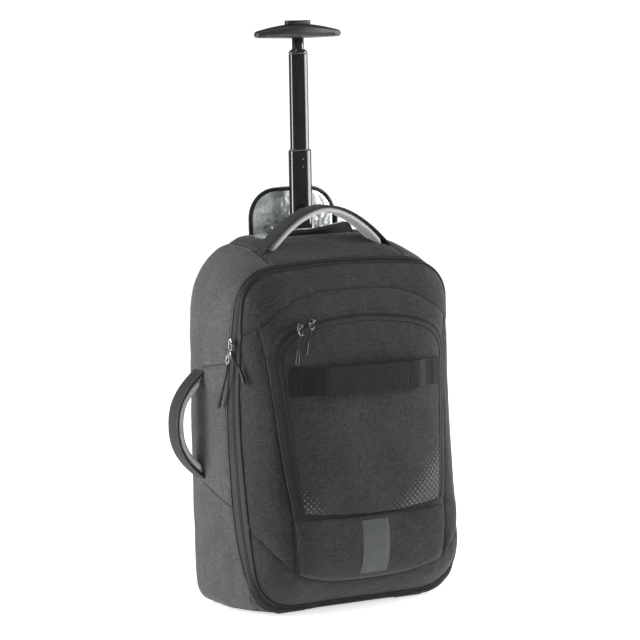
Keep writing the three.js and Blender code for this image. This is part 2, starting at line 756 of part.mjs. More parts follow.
// Webbing across the pocket: flat at both ends, with a loop that stands off between two tacks
function pocketStrap() {
  const z = strapHeight;
  const reach = Math.max(...pocketFace.map(([x]) => x));
  const faceY = (x) => frontY(x, z) - riseAt(Math.abs(x) / reach, pocketEdgeRise, pocketDepth);
  const count = 16;
  const inner = [];
  for (let i = 0; i <= count; i += 1) {
    const x = -strapHalfLength + (2 * strapHalfLength * i) / count;
    const within = Math.min(1, Math.max(0, (strapTack - Math.abs(x)) / 14));
    inner.push([x, faceY(x) - 1.4 - strapLoopDepth * within * within * (3 - 2 * within)]);
  }
  const outer = inner.map(([x, y]) => [x, y - strapThickness]).reverse();
  const strap = slabUp([...inner.map(([x, y]) => [x, y]), ...outer], z - strapWidth / 2, z + strapWidth / 2);
  place("pocket_strap", strap.subtract(clearPocket).subtract(clearOutside), webbing);
}

// A carry handle in its own plane: an arch of u along the span and v away from the bag, as [u, v] points.
function archBand(halfSpan, rise, from, to, power) {
  const count = 16;
  const line = (offset) => {
    const points = [];
    for (let i = 0; i <= count; i += 1) {
      const t = -1 + (2 * i) / count;
      const u = halfSpan * t;
      const v = rise * (1 - Math.abs(t) ** power);
      const slope = t === 0 ? 0 : (-rise * power * Math.abs(t) ** (power - 1) * Math.sign(t)) / halfSpan;
      const length = Math.hypot(1, slope);
      points.push([u + (slope * offset) / length, v - offset / length]);
    }
    return points;
  };
  return [...line(from), ...line(to).reverse()];
}

function topHandle() {
  const base = 0.952 * bagHeight;
  const y0 = topHandleY - handleWidth / 2;
  const lay = (points) => points.map(([u, v]) => [u, base + v]);
  const strap = archBand(topHandleHalfSpan, topHandleRise, 0, handleStrapThickness, topHandleArch);
  const shape = slabFront(lay(strap), y0, y0 + handleWidth);
  // Ends sewn flat on the top
  const flange = (side) => {
    const x0 = side * (topHandleHalfSpan - handleFlange * 0.4);
    const x1 = side * (topHandleHalfSpan + handleFlange * 0.8);
    return box(Math.min(x0, x1), Math.max(x0, x1), y0, y0 + handleWidth, base - 30, base + 30);
  };
  const skinOver = solid(grown(skinSurface, seat + handleStrapThickness)).subtract(clearOutside);
  const ends = skinOver.intersect(flange(-1).add(flange(1)));
  place("top_handle_strap", shape.subtract(clearOutside).add(ends), darkFabric);
  const pad = archBand(
    topHandleHalfSpan * 0.97,
    topHandleRise,
    handleStrapThickness + seat,
    handleStrapThickness + seat + handlePadThickness,
    topHandleArch,
  );
  const overFlange = solid(grown(skinSurface, seat + handleStrapThickness + seat));
  const onFlanges = overFlange.intersect(flange(-1).add(flange(1)));
  const trimmed = solid(grown(skinSurface, handlePadLift)).add(onFlanges);
  const grip = slabFront(lay(pad), y0 + handlePadInset, y0 + handleWidth - handlePadInset);
  const strapAndSides = slabFront(lay(strap), y0 - handlePadInset, y0 + handleWidth + handlePadInset);
  place("top_handle_pad", grip.subtract(trimmed).subtract(strapAndSides), meshPadding);
}

function sideHandle() {
  const y0 = sideHandleY - handleWidth / 2;
  const face = -halfWidth - sideBulge * 0.9;
  const lay = (points) => points.map(([u, v]) => [face - v, sideHandleMiddle + u]);
  const strap = archBand(sideHandleHalfSpan, sideHandleReach, 0, handleStrapThickness, sideHandleArch);
  const shape = slabFront(lay(strap), y0, y0 + handleWidth);
  const flange = (side) => {
    const z = sideHandleMiddle + side * (sideHandleHalfSpan + handleFlange * 0.3);
    return box(face - 20, face + 20, y0, y0 + handleWidth, z - handleFlange / 2, z + handleFlange / 2);
  };
  const skinOver = solid(grown(skinSurface, seat + handleStrapThickness)).subtract(clearOutside);
  const ends = skinOver.intersect(flange(-1).add(flange(1)));
  place("side_handle_strap", shape.subtract(clearOutside).add(ends), darkFabric);
  const pad = archBand(
    sideHandleHalfSpan * 0.96,
    sideHandleReach,
    handleStrapThickness + seat,
    handleStrapThickness + seat + handlePadThickness,
    sideHandleArch,
  );
  const overFlange = solid(grown(skinSurface, seat + handleStrapThickness + seat));
  const onFlanges = overFlange.intersect(flange(-1).add(flange(1)));
  const trimmed = solid(grown(skinSurface, handlePadLift)).add(onFlanges);
  const grip = slabFront(lay(pad), y0 + handlePadInset, y0 + handleWidth - handlePadInset);
  const strapAndSides = slabFront(lay(strap), y0 - handlePadInset, y0 + handleWidth + handlePadInset);
  place("side_handle_pad", grip.subtract(trimmed).subtract(strapAndSides), meshPadding);
}

// A stadium outline as [x, y] points about the pole's axis.
function stadium(width, depth) {
  const radius = depth / 2;
  const straight = (width - depth) / 2;
  const arc = 6;
  const points = [];
  for (const side of [1, -1])
    for (let i = 0; i <= arc; i += 1) {
      const angle = -Math.PI / 2 + (Math.PI * i) / arc + (side < 0 ? Math.PI : 0);
      points.push([side * straight + radius * Math.cos(angle), poleY + radius * Math.sin(angle)]);
    }
  return points;
}

function tube({ width, depth, bottom, top }) {
  const hole = stadium(width - 2 * tubeWall, depth - 2 * tubeWall);
  return slabUp(stadium(width, depth), bottom, top).subtract(slabUp(hole, bottom - 1, top + 1));
}

// The foot of a tube, which slides inside the next tube and stops against that tube's guide.
function slideFoot(moving, outer) {
  const fits = 2 * (tubeWall + tubeGap);
  const full = slabUp(stadium(outer.width - fits, outer.depth - fits), moving.bottom, moving.bottom + slideFootHeight);
  const hole = stadium(moving.width - 2 * tubeWall, moving.depth - 2 * tubeWall);
  return full.subtract(slabUp(hole, moving.bottom - 1, moving.bottom + slideFootHeight + 1));
}

// A guide in the mouth of a tube for the tube that runs in it.
function guide(outer, inner) {
  const full = slabUp(stadium(outer.width - tubeWall, outer.depth - tubeWall), outer.top - guideLength, outer.top);
  const hole = stadium(inner.width + 2 * tubeGap, inner.depth + 2 * tubeGap);
  return full.subtract(slabUp(hole, outer.top - guideLength - 1, outer.top + 1));
}

function trolleyPole() {
  const bezelTop = baseTube.top + collarHeight;
  const bezel = slabUp(
    stadium(baseTube.width + 2 * collarFlange, baseTube.depth + collarFlange),
    baseTube.top + seat,
    bezelTop,
  );
  const passage = stadium(lowerTube.width + 2 * tubeGap, lowerTube.depth + 2 * tubeGap);
  place("pole_collar", bezel.subtract(slabUp(passage, 0, bezelTop + 1)), chassisPlastic);
  place("pole_base_tube", tube(baseTube).add(guide(baseTube, lowerTube)), poleMetal);
  const lower = tube(lowerTube).add(guide(lowerTube, upperTube)).add(slideFoot(lowerTube, baseTube));
  place("pole_lower_tube", lower, poleMetal);
  place("pole_upper_tube", tube(upperTube).add(slideFoot(upperTube, lowerTube)), poleMetal);
  const neckTop = gripBottom + gripHeight * 0.3;
  const shoulder = upperTube.top + seat;
  const neck = slabUp(stadium(neckWidth, neckDepth), shoulder, neckTop)
    .add(slabUp(stadium(upperTube.width, upperTube.depth), shoulder, shoulder + shoulderHeight * 0.5))
    .add(slabUp(stadium(upperTube.width - 5, upperTube.depth - 2), shoulder, shoulder + shoulderHeight));
  place("grip_neck", neck, gripPlastic);
  trolleyGrip(neckTop);
}

// The T grip: a lens in the front view, lofted along X through rounded sections
function trolleyGrip(neckTop) {
  const sections = [-1, -0.94, -0.75, -0.4, 0, 0.4, 0.75, 0.94, 1];
  const sides = 12;
  const rings = sections.map((t) => {
    const full = 1 - Math.abs(t) ** 1.6;
    const end = (1 - Math.abs(t)) / 0.06;
    const round = 0.55 + 0.45 * Math.min(1, end);
    const height = (gripEndHeight + (gripHeight - gripEndHeight) * full) * round;
    const depth = (gripEndDepth + (gripDepth - gripEndDepth) * full) * round;
    const middle = gripBottom + gripEndHeight * 0.62 + (gripHeight - gripEndHeight) * 0.36 * full;
    const ring = [];
    for (let i = 0; i < sides; i += 1) {
      const angle = (2 * Math.PI * i) / sides;
      const z = middle + (height / 2) * Math.sin(angle);
      ring.push(new THREE.Vector3(gripHalfWidth * t, poleY + (depth / 2) * Math.cos(angle), z));
    }
    return ring;
  });
  const tip = gripBottom + gripEndHeight * 0.62;
  const ends = [-1, 1].map((side) => new THREE.Vector3(side * (gripHalfWidth + 1), poleY, tip));
  const body = solid(loft(rings, ends));
  const socket = slabUp(stadium(neckWidth + 2 * seat, neckDepth + 2 * seat), 0, neckTop + seat);
  const gripTop = gripBottom + gripHeight;
  const button = stadium(2 * buttonHalfWidth, buttonDepth);
  const hole = stadium(2 * buttonHalfWidth + 2 * seat, buttonDepth + 2 * seat);
  const travel = 4;
  const bay = slabUp(hole, gripTop - buttonSunk - travel, gripTop + 20);
  place("grip", body.subtract(socket).subtract(bay), gripPlastic);
  place("grip_button", slabUp(button, gripTop - buttonSunk, gripTop + buttonProud), gripPlastic);
}

// The open pocket that the grip sinks into, its front lip and the flap that closes it
function trolleyPocket() {
  const high = bagHeight + 20;
  const outer = box(
    -wellHalfWidth - wellWall,
    wellHalfWidth + wellWall,
    wellFront - wellWall,
    wellBack + wellWall,
    wellFloor - wellWall,
    high,
  );
  const hollow = box(-wellHalfWidth, wellHalfWidth, wellFront, wellBack, wellFloor, high + 1);
  const hole = slabUp(stadium(baseTube.width + 2 * seat, baseTube.depth + 2 * seat), 0, bagHeight);
  const liner = outer.subtract(hollow).subtract(hole);
  place("trolley_pocket", liner.intersect(solid(grown(skinSurface, -0.5))), silverLining);

  const lipFoot = 0.985 * bagHeight;
  const lipTop = (x) => bagHeight * 0.999 + lipHeight * (0.35 + 0.65 * ((x + wellHalfWidth) / (2 * wellHalfWidth)));
  const lip = slabFront(
    [
      [-wellHalfWidth, lipFoot - 8],
      [wellHalfWidth, lipFoot - 8],
      [wellHalfWidth, lipTop(wellHalfWidth) - 3],
      [wellHalfWidth - 4, lipTop(wellHalfWidth)],
      [-wellHalfWidth, lipTop(-wellHalfWidth)],
    ],
    wellFront + seat,
    wellFront + seat + lipThickness,
  );
  place("trolley_pocket_lip", lip, darkFabric);
  trolleyFlap();
}

// The flap's outline as [x, z] points from its hinge up, drawn in by an inset
function flapOutline(inset) {
  const half = flapHalfWidth - inset;
  const radius = flapCorner - inset;
  const arc = 8;
  const points = [[-half, 0], [half, 0]];
  for (let i = 0; i <= arc; i += 1) {
    const angle = (Math.PI / 2) * (i / arc);
    const x = half - radius + radius * Math.cos(angle);
    points.push([x, flapHeight - flapCorner + radius * Math.sin(angle)]);
  }
  for (let i = arc; i >= 0; i -= 1) {
    const angle = (Math.PI / 2) * (i / arc);
    const x = half - radius + radius * Math.cos(angle);
    points.push([-x, flapHeight - flapCorner + radius * Math.sin(angle)]);
  }
  return points;
}

function trolleyFlap() {
  const hinge = new THREE.Vector3(0, wellBack + wellWall + 1.2, 0.962 * bagHeight);
  const stand = (shape) => shape.rotate([-flapLean, 0, 0]).translate([hinge.x, hinge.y, hinge.z]);
  const panel = stand(slabFront(flapOutline(flapZipWidth), 0, flapThickness));
  const edge = slabFront(flapOutline(0), -0.5, flapThickness + 0.5);
  const middle = slabFront(flapOutline(flapZipWidth - seat), -2, flapThickness + 2);
  const foot = box(-FAR, FAR, -FAR, FAR, -1, 0.5);
  place("trolley_flap", panel.subtract(clearOutside), silverLining);
  place("trolley_flap_zip", stand(edge.subtract(middle).subtract(foot)).subtract(clearOutside), zipTape);
}

// Wheels turn about X on axles through the chassis' cheeks
function turned(profile, x) {
  const points = profile.map(([radius, along]) => new THREE.Vector2(radius, along));
  const geometry = new THREE.LatheGeometry(points, wheelFacets);
  return solid(geometry.rotateZ(Math.PI / 2).translate(x, wheelY, wheelRadius));
}

function wheel(side, name) {
  const half = wheelWidth / 2;
  const tyreInner = hubRadius + tyreGap;
  const tyre = [
    [tyreInner, -half + 2],
    [wheelRadius - 4, -half],
    [wheelRadius, -half + 6],
    [wheelRadius, half - 6],
    [wheelRadius - 4, half],
    [tyreInner, half - 2],
    [tyreInner, -half + 2],
  ];
  const bore = axleRadius + axleGap;
  const hub = [
    [bore, -half + 1],
    [bore + 4, -half + 1],
    [hubRadius - 5, -3],
    [hubRadius, -half + 2.2],
    [hubRadius, half - 2.2],
    [hubRadius - 5, 3],
    [bore + 4, half - 1],
    [bore, half - 1],
    [bore, -half + 1],
  ];
  place("wheel_tyre_" + name, turned(tyre, side * wheelX), tyreRubber);
  place("wheel_hub_" + name, turned(hub, side * wheelX), hubPlastic);
  const reach = half + wheelSideGap + cheek - 0.5;
  const pin = [[0, -reach], [axleRadius, -reach], [axleRadius, reach], [0, reach]];
  place("axle_" + name, turned(pin, side * wheelX), hubPlastic);
}

// One side's wheel housing: a box with a rounded top over the wheel, open below and behind
function housing(side) {
  const inner = wheelWidth / 2 + wheelSideGap;
  const x0 = side * wheelX - inner - cheek;
  const x1 = side * wheelX + inner + cheek;
  const arch = (radius, back, foot) => {
    const points = [[back, foot]];
    const count = 7;
    const low = wheelY - radius;
    for (let i = 0; i <= count; i += 1) {
      const angle = Math.PI * (i / count);
      const y = wheelY + radius * Math.cos(angle);
      points.push([Math.min(y, back), wheelRadius + radius * Math.sin(angle)]);
    }
    points.push([low, foot]);
    return points;
  };
  const body = slabSide(
    [
      [housingFront, chassisClear],
      [chassisBack, chassisClear + 7],
      [chassisBack, chassisHeight - 14],
      [chassisBack - 14, chassisHeight],
      [housingFront, chassisHeight],
    ],
    x0,
    x1,
  );
  const cavity = slabSide(arch(wheelRadius + wheelTopGap - 0.5, FAR, -20), x0 + cheek, x1 - cheek);
  return body.subtract(cavity);
}

function chassis() {
  const inner = wheelX - wheelWidth / 2 - wheelSideGap - cheek;
  const top = chassisClear + chassisPlate;
  const floor = box(-inner - 2, inner + 2, chassisFront, chassisBack - 3, chassisClear, top).add(
    box(-chassisHalfWidth, chassisHalfWidth, chassisFront, housingFront + 1, chassisClear, top),
  );
  const kick = slabSide(
    [
      [chassisBack - chassisPlate - 2, chassisClear],
      [chassisBack - 3, chassisClear],
      [chassisBack, chassisClear + 7],
      [chassisBack, chassisHeight - 14],
      [chassisBack - 3, chassisHeight],
      [chassisBack - ledgeReach, chassisHeight],
      [chassisBack - ledgeReach, chassisHeight - chassisPlate],
      [chassisBack - chassisPlate - 3, chassisHeight - chassisPlate],
    ],
    -inner - 2,
    inner + 2,
  );
  const socketTop = top + 26;
  const boss = slabUp(stadium(baseTube.width + 9, baseTube.depth + 9), top - 1, socketTop);
  const seatOfPole = slabUp(
    stadium(baseTube.width + 2 * seat, baseTube.depth + 2 * seat),
    baseTube.bottom - seat,
    socketTop + 1,
  );
  const pins = turnedBore(-1).add(turnedBore(1));
  const whole = floor.add(kick).add(housing(-1)).add(housing(1)).add(boss);
  place("wheel_chassis", whole.subtract(seatOfPole).subtract(pins), chassisPlastic);
}

function turnedBore(side) {
  const reach = wheelWidth / 2 + wheelSideGap + cheek - 0.2;
  const radius = axleRadius + axleGap;
  return turned([[0, -reach], [radius, -reach], [radius, reach], [0, reach]], side * wheelX);
}

function feet() {
  for (const [side, name] of [[-1, "left"], [1, "right"]]) {
    const block = box(
      side * footX - footLength / 2,
      side * footX + footLength / 2,
      footY - footDepth / 2,
      footY + footDepth / 2,
      0,
      baseLift + footTuck,
    );
    place("front_foot_" + name, block.subtract(clearOutside), chassisPlastic);
  }
}

// The padded cover that zips over the stowed shoulder harness
function harnessCover() {
  const arc = 4;
  const corners = [
    [coverHalfWidth - coverCorner, coverTop - coverCorner, 0],
    [-coverHalfWidth + coverCorner, coverTop - coverCorner, 1],
    [-coverHalfWidth + coverCorner, coverBottom + coverCorner, 2],
    [coverHalfWidth - coverCorner, coverBottom + coverCorner, 3],
  ];
  const ring = (inset, y) => {
    const points = [];
    for (const [x, z, quarter] of corners)
      for (let i = 0; i <= arc; i += 1) {
        const angle = (Math.PI / 2) * (quarter + i / arc);
        const radius = coverCorner - inset;
        points.push(new THREE.Vector3(x + radius * Math.cos(angle), y, z + radius * Math.sin(angle)));
      }
    return points;
  };
  const face = backReach + seat;
  const rings = [ring(0, face), ring(0, face + coverThickness * 0.45), ring(5, face + coverThickness * 0.8)];
  rings.push(ring(14, face + coverThickness));
  const middle = (coverBottom + coverTop) / 2;
  const ends = [face, face + coverThickness].map((y) => new THREE.Vector3(0, y, middle));
  place("harness_cover", solid(loft(rings, ends)), darkFabric);
}

// A zip pull: slider body on the zip, with a cord and a moulded tip that hang from it
function zipPull(name, turn, path) {
  const [at] = path;
  const block = new THREE.BoxGeometry(sliderThickness, sliderWidth, sliderLength);
  const curve = new THREE.CatmullRomCurve3(path.map(([x, y, z]) => new THREE.Vector3(x, y, z)));
  const round = (radius, sides) => {
    const points = [];
    for (let i = 0; i < sides; i += 1) {
      const angle = (2 * Math.PI * i) / sides;
      points.push([radius * Math.cos(angle), radius * Math.sin(angle)]);
    }
    return shapeOf(points);
  };
  const run = (shape, steps, extrudePath) =>
    solid(new THREE.ExtrudeGeometry(shape, { steps, bevelEnabled: false, extrudePath }));
  const tip = new THREE.LineCurve3(curve.getPoint(1 - pullTipShare), curve.getPoint(1));
  const whole = solid(block.rotateZ(turn).translate(...at))
    .add(run(round(pullCord, 5), 5, curve))
    .add(run(round(pullTip, 6), 1, tip));
  place(name, whole.subtract(clearBand).subtract(clearPocket), pullPlastic);
}

function zipPulls() {
  const bandX = (halfWidth * (zipSection.width + rimSection.width)) / 2 + sideBulge - bandInset;
  const side = -bandX - sliderThickness / 2 + 1;
  const beside = ({ forward, height, out }) => [side - out * pullStandOff, -forward * frontReach, height * bagHeight];
  zipPull("main_zip_pull_front", 0, mainPullFront.map(beside));
  zipPull("main_zip_pull_back", 0, mainPullBack.map(beside));
  const over = ({ across, height, out }) => {
    const [x, z] = [across * halfWidth, height * bagHeight];
    return [x, frontY(x, z) - pocketEdgeRise - out * pullStandOff, z];
  };
  zipPull("pocket_zip_pull_left", pocketPullTurn, pocketPullLeft.map(over));
  zipPull("pocket_zip_pull_right", pocketPullTurn, pocketPullRight.map(over));
}

bodyPanels();
frontPanels();
frontPocket();
lowerPocket();
pocketStrap();
topHandle();
sideHandle();
trolleyPole();
trolleyPocket();
wheel(-1, "left");
wheel(1, "right");
chassis();
feet();
harnessCover();
zipPulls();

// The frame's origin is on the floor, under the middle of the whole object's box.
bag.updateMatrixWorld(true);
const extent = new THREE.Box3().setFromObject(bag);
bag.position.set(-(extent.min.x + extent.max.x) / 2, -(extent.min.y + extent.max.y) / 2, 0);

export default bag;
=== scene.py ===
"""Looks of a cabin-size wheeled backpack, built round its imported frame.

Everything is in metres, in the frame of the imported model. Soft panels are refined, smoothed and puffed copies of
the solids that they stand for; zips, stitches, piping and ribs lie on those panels.
"""

import logging
import math
from dataclasses import dataclass, field
from enum import Enum

import bmesh
import bpy
import numpy as np
from mathutils import Matrix, Vector, noise
from mathutils.bvhtree import BVHTree
from mathutils.kdtree import KDTree


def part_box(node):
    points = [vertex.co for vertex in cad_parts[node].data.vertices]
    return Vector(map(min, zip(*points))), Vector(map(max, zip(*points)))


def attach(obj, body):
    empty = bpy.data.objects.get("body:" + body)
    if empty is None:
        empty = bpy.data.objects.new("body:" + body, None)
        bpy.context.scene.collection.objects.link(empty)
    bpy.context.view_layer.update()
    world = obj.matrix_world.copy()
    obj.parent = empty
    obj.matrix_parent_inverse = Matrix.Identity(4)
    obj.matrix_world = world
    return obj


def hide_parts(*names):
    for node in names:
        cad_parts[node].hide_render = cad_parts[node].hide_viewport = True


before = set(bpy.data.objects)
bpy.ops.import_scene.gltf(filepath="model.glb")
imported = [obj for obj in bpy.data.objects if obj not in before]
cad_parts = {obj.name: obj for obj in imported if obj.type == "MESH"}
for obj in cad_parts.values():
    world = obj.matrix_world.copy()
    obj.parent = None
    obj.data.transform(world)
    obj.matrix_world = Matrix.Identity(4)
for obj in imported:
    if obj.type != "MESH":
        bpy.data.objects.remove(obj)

MM = 0.001
POLE_BACK = 73.0  # the pole's axis behind the bag's own zero, in millimetres
LOG = logging.getLogger("backpack")
# The bag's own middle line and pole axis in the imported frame: section sizes below are measured from here.
BAG_X = sum(c.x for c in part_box("pole_upper_tube")) / 2
POLE_Y = sum(c.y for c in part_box("pole_upper_tube")) / 2
BAG_Y = POLE_Y - POLE_BACK * MM

Socket = bpy.types.NodeSocket
Thing = bpy.types.Object
Shape = tuple[np.ndarray, list]  # points and faces
Run = tuple[np.ndarray, np.ndarray]  # a line's points and normals


def at(x: float, y: float, z: float) -> np.ndarray:
    """A point of the bag's own millimetres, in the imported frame's metres."""
    return np.array((x * MM + BAG_X, y * MM + BAG_Y, z * MM))


# Colours and nodes


def linear(colour: str) -> tuple[float, float, float, float]:
    """Turns an sRGB hex colour into linear light.

    Args:
        colour: Six hex digits.

    Returns:
        Red, green, blue and alpha, as shader sockets take them.
    """
    parts = (int(colour[i : i + 2], 16) / 255 for i in (0, 2, 4))
    lit = (c / 12.92 if c <= 0.04045 else ((c + 0.055) / 1.055) ** 2.4 for c in parts)
    return (*lit, 1.0)


def add_node(tree: bpy.types.NodeTree, kind: str, inputs: dict | tuple = (), **settings) -> bpy.types.Node:
    """Adds one node with its settings and links.

    Args:
        tree: The tree that the node goes in.
        kind: The node's type name.
        inputs: Socket name or number to a value, or to the output socket that feeds it. A tuple fills the first
            sockets in order.
        **settings: The node's own properties.

    Returns:
        The node.
    """
    node = tree.nodes.new(kind)
    for name, value in settings.items():
        setattr(node, name, value)
    for name, value in inputs.items() if isinstance(inputs, dict) else enumerate(inputs):
        socket = node.inputs[name]
        if isinstance(value, Socket):
            tree.links.new(value, socket)
        else:
            socket.default_value = value
    return node


# The kinds of node that the finishes use most, and the colour result among a Mix node's outputs.
MATH, VECTOR, MIX, SPREAD = "ShaderNodeMath", "ShaderNodeVectorMath", "ShaderNodeMix", "ShaderNodeMapRange"
SPLIT, COLOUR_OUT = "ShaderNodeSeparateXYZ", 2
WHITE = "ffffff"


class Surface:
    """A material in the making: its tree, its object coordinates in millimetres and its shader."""

    def __init__(self, name: str, **shader: float | tuple) -> None:
        """Starts a material.

        Args:
            name: The material's name.
            **shader: Values on the Principled shader's own sockets, with _ for a space.
        """
        self.material = bpy.data.materials.new(name)
        self.material.use_nodes = True
        self.tree = self.material.node_tree
        self.tree.nodes.clear()
        self.shader = add_node(self.tree, "ShaderNodeBsdfPrincipled")
        for socket, value in shader.items():
            self.shader.inputs[socket.replace("_", " ")].default_value = value
        add_node(self.tree, "ShaderNodeOutputMaterial", {"Surface": self.shader.outputs[0]})
        place = self.out("ShaderNodeTexCoord", output="Object")
        self.mm = self.out(VECTOR, (place, (1 / MM,) * 3), operation="MULTIPLY")

    def out(self, kind: str, inputs: dict | tuple = (), output: int | str = 0, **settings) -> Socket:
        """Adds a node to this material's tree and gives one of its outputs."""
        return add_node(self.tree, kind, inputs, **settings).outputs[output]

    def feed(self, socket: str, value: Socket) -> None:
        """Links a pattern to one of the shader's sockets."""
        self.tree.links.new(value, self.shader.inputs[socket])

    def dyed(self) -> Socket:
        """The socket that colours the surface so far."""
        return self.shader.inputs["Base Color"].links[0].from_socket

    def dye(self, under: Socket | tuple, over: Socket | tuple, share: Socket | float = 1.0,
            blend: str = "MULTIPLY") -> None:
        """Colours the surface with one colour laid over another.

        Args:
            under: The lower colour.
            over: The colour on it.
            share: How much of it lies there.
            blend: How the two mix, in the Mix node's own words.
        """
        both = {0: share, 6: under, 7: over}
        self.feed("Base Color", self.out(MIX, both, COLOUR_OUT, data_type="RGBA", blend_type=blend))

    def grain(self, period: tuple, detail: float = 2.0, rough: float = 0.55) -> Socket:
        """Noise about 0.5, for threads, pits, wear and creases.

        Args:
            period: How long its grains are along X, Y and Z, in millimetres.
            detail: How many finer layers it has.
            rough: How strong the finer layers are.

        Returns:
            The noise.
        """
        where = self.out(VECTOR, (self.mm, tuple(1 / p for p in period)), operation="MULTIPLY")
        wanted = {"Vector": where, "Scale": 1.0, "Detail": detail, "Roughness": rough}
        return self.out("ShaderNodeTexNoise", wanted, "Fac")

    def shades(self, value: Socket, stops: dict[float, str]) -> Socket:
        """The finish's colours along a pattern.

        Args:
            value: The pattern.
            stops: Place along it to the sRGB hex colour there.

        Returns:
            The colour socket.
        """
        node = add_node(self.tree, "ShaderNodeValToRGB", {"Fac": value})
        band = node.color_ramp
        while len(band.elements) < len(stops):
            band.elements.new(0.5)
        for element, (place, colour) in zip(band.elements, sorted(stops.items())):
            element.position = place
            element.color = linear(colour)
        return node.outputs["Color"]

    def roughness(self, value: Socket, low: float, high: float) -> None:
        """Varies the roughness with a pattern.

        Args:
            value: The pattern, which runs from about 0.3 to 0.7.
            low: The roughness at 0.3.
            high: The roughness at 0.7.
        """
        spread = {"Value": value, "From Min": 0.3, "From Max": 0.7, "To Min": low, "To Max": high}
        self.feed("Roughness", self.out(SPREAD, spread))

    def relief(self, *layers: tuple[Socket, float]) -> None:
        """Bumps the surface.

        Args:
            *layers: Patterns of height, each with its depth in millimetres.
        """
        below = {}
        for height, depth in layers:
            wanted = {"Height": height, "Distance": depth * MM, "Strength": 1.0}
            below = {"Normal": self.out("ShaderNodeBump", wanted | below)}
        self.feed("Normal", below["Normal"])


# Finishes


# The front's melange tones, darker than the side panels' copy of the same cloth: painted shade.
SHADED_FRONT_TONES = ("211f20", "2e2b2c", "3d3a3b")


@dataclass(frozen=True)
class Melange:
    """Woven melange polyester: dark and pale grey threads crossing, matt, with a little fuzz that catches edge light.

    The real threads are about 0.35 mm apart. They are drawn three times as coarse, so that they show.
    """

    name: str
    dark: str
    middle: str
    pale: str
    thread: float = 1.1
    fuzz: float = 0.12

    def build(self) -> Surface:
        """Makes the material.

        Returns:
            The surface.
        """
        cloth = Surface(self.name, Roughness=0.85, Specular_IOR_Level=0.25, Sheen_Weight=self.fuzz,
                        Sheen_Roughness=0.5)
        upright = cloth.grain((self.thread, self.thread, self.thread * 9))
        across = cloth.grain((self.thread * 9, self.thread * 9, self.thread))
        crossing = cloth.grain((self.thread * 1.5,) * 3, 0.0)
        over = cloth.out(MATH, (crossing, 0.5), operation="GREATER_THAN")
        threads = cloth.out(MIX, {0: over, 2: upright, 3: across})
        tone = cloth.shades(threads, {0.32: self.dark, 0.5: self.middle, 0.68: self.pale})
        wear = cloth.shades(cloth.grain((46, 46, 70), 3.0), {0.3: "dedede", 0.7: WHITE})
        cloth.dye(tone, wear)
        cloth.roughness(threads, 0.92, 0.78)
        cloth.relief((cloth.grain((24, 24, 34), 2.0), 1.1), (threads, 0.22))
        return cloth


@dataclass(frozen=True)
class HoodedTape:
    """Zip tape that shows at the pocket's left side; higher up a hood of the front's melange cloth covers it."""

    name: str
    colour: str = "171b1d"
    low: float = 372.0
    high: float = 392.0

    def build(self) -> Surface:
        """Makes the material.

        Returns:
            The surface.
        """
        cloth = Melange(self.name, *SHADED_FRONT_TONES).build()
        height = cloth.out(SPLIT, (cloth.mm,), "Z")
        share = cloth.out(SPREAD, {"Value": height, "From Min": self.low, "From Max": self.high})
        cloth.dye(linear(self.colour), cloth.dyed(), share, "MIX")
        return cloth


@dataclass(frozen=True)
class Halftone:
    """The front's melange cloth with a screen print of small diamonds, which thin out up from the lower corners."""

    name: str
    ink: str = "6d6b6c"
    cell: float = 8.5
    low: float = 178.0
    fade: float = 95.0
    half_width: float = 120.0
    largest: float = 0.36
    strength: float = 0.55

    def build(self) -> Surface:
        """Makes the material.

        Returns:
            The surface.
        """
        cloth = Melange(self.name, *SHADED_FRONT_TONES).build()
        across, _, height = add_node(cloth.tree, SPLIT, (cloth.mm,)).outputs
        gaps = []
        for kind in ("ADD", "SUBTRACT"):
            slanted = cloth.out(MATH, (across, height), operation=kind)
            cells = cloth.out(MATH, (slanted, self.cell), operation="DIVIDE")
            wave = cloth.out(MATH, (cells, 0.5), operation="PINGPONG")
            gaps.append(cloth.out(MATH, (0.5, wave), operation="SUBTRACT"))
        gap = cloth.out(MATH, tuple(gaps), operation="MAXIMUM")
        above = cloth.out(MATH, (height, self.low), operation="SUBTRACT")
        climb = cloth.out(MATH, (above, self.fade), operation="DIVIDE")
        off = cloth.out(MATH, (across,), operation="ABSOLUTE")
        side = cloth.out(MATH, (off, self.half_width), operation="DIVIDE")
        wide = cloth.out(MATH, (side, 1.25), operation="MULTIPLY")
        tall = cloth.out(MATH, (climb, 0.72), operation="ADD")
        reach = cloth.out(MATH, (wide, tall), operation="SUBTRACT")
        size = cloth.out(MATH, (reach, 0.8), operation="MULTIPLY")
        size = cloth.out(MATH, (size, self.largest), operation="MINIMUM")
        printed = cloth.out(MATH, (gap, size), operation="LESS_THAN")
        share = cloth.out(MATH, (printed, self.strength), operation="MULTIPLY")
        cloth.dye(cloth.dyed(), linear(self.ink), share, "MIX")
        return cloth


@dataclass(frozen=True)
class PlainWeave:
    """Plain woven polyester: one dark colour in a fine even rib."""

    name: str
    colour: str
    rib: float = 1.4
    rough: float = 0.75
    fuzz: float = 0.06

    def build(self) -> Surface:
        """Makes the material.

        Returns:
            The surface.
        """
        cloth = Surface(self.name, Roughness=self.rough, Specular_IOR_Level=0.3, Sheen_Weight=self.fuzz,
                        Sheen_Roughness=0.5)
        ribs = cloth.grain((self.rib, self.rib, self.rib * 3), 1.0)
        fine = cloth.grain((self.rib * 4, self.rib * 4, self.rib * 0.7), 1.0)
        total = cloth.out(MATH, (ribs, fine), operation="ADD")
        both = cloth.out(MATH, (total, 0.5), operation="MULTIPLY")
        tone = cloth.out(MIX, {0: both, 6: linear("8c8c8c"), 7: linear(WHITE)}, COLOUR_OUT, data_type="RGBA")
        cloth.dye(linear(self.colour), tone)
        cloth.roughness(both, self.rough + 0.08, self.rough - 0.08)
        cloth.relief((cloth.grain((20, 20, 20)), 0.5), (both, 0.2))
        return cloth


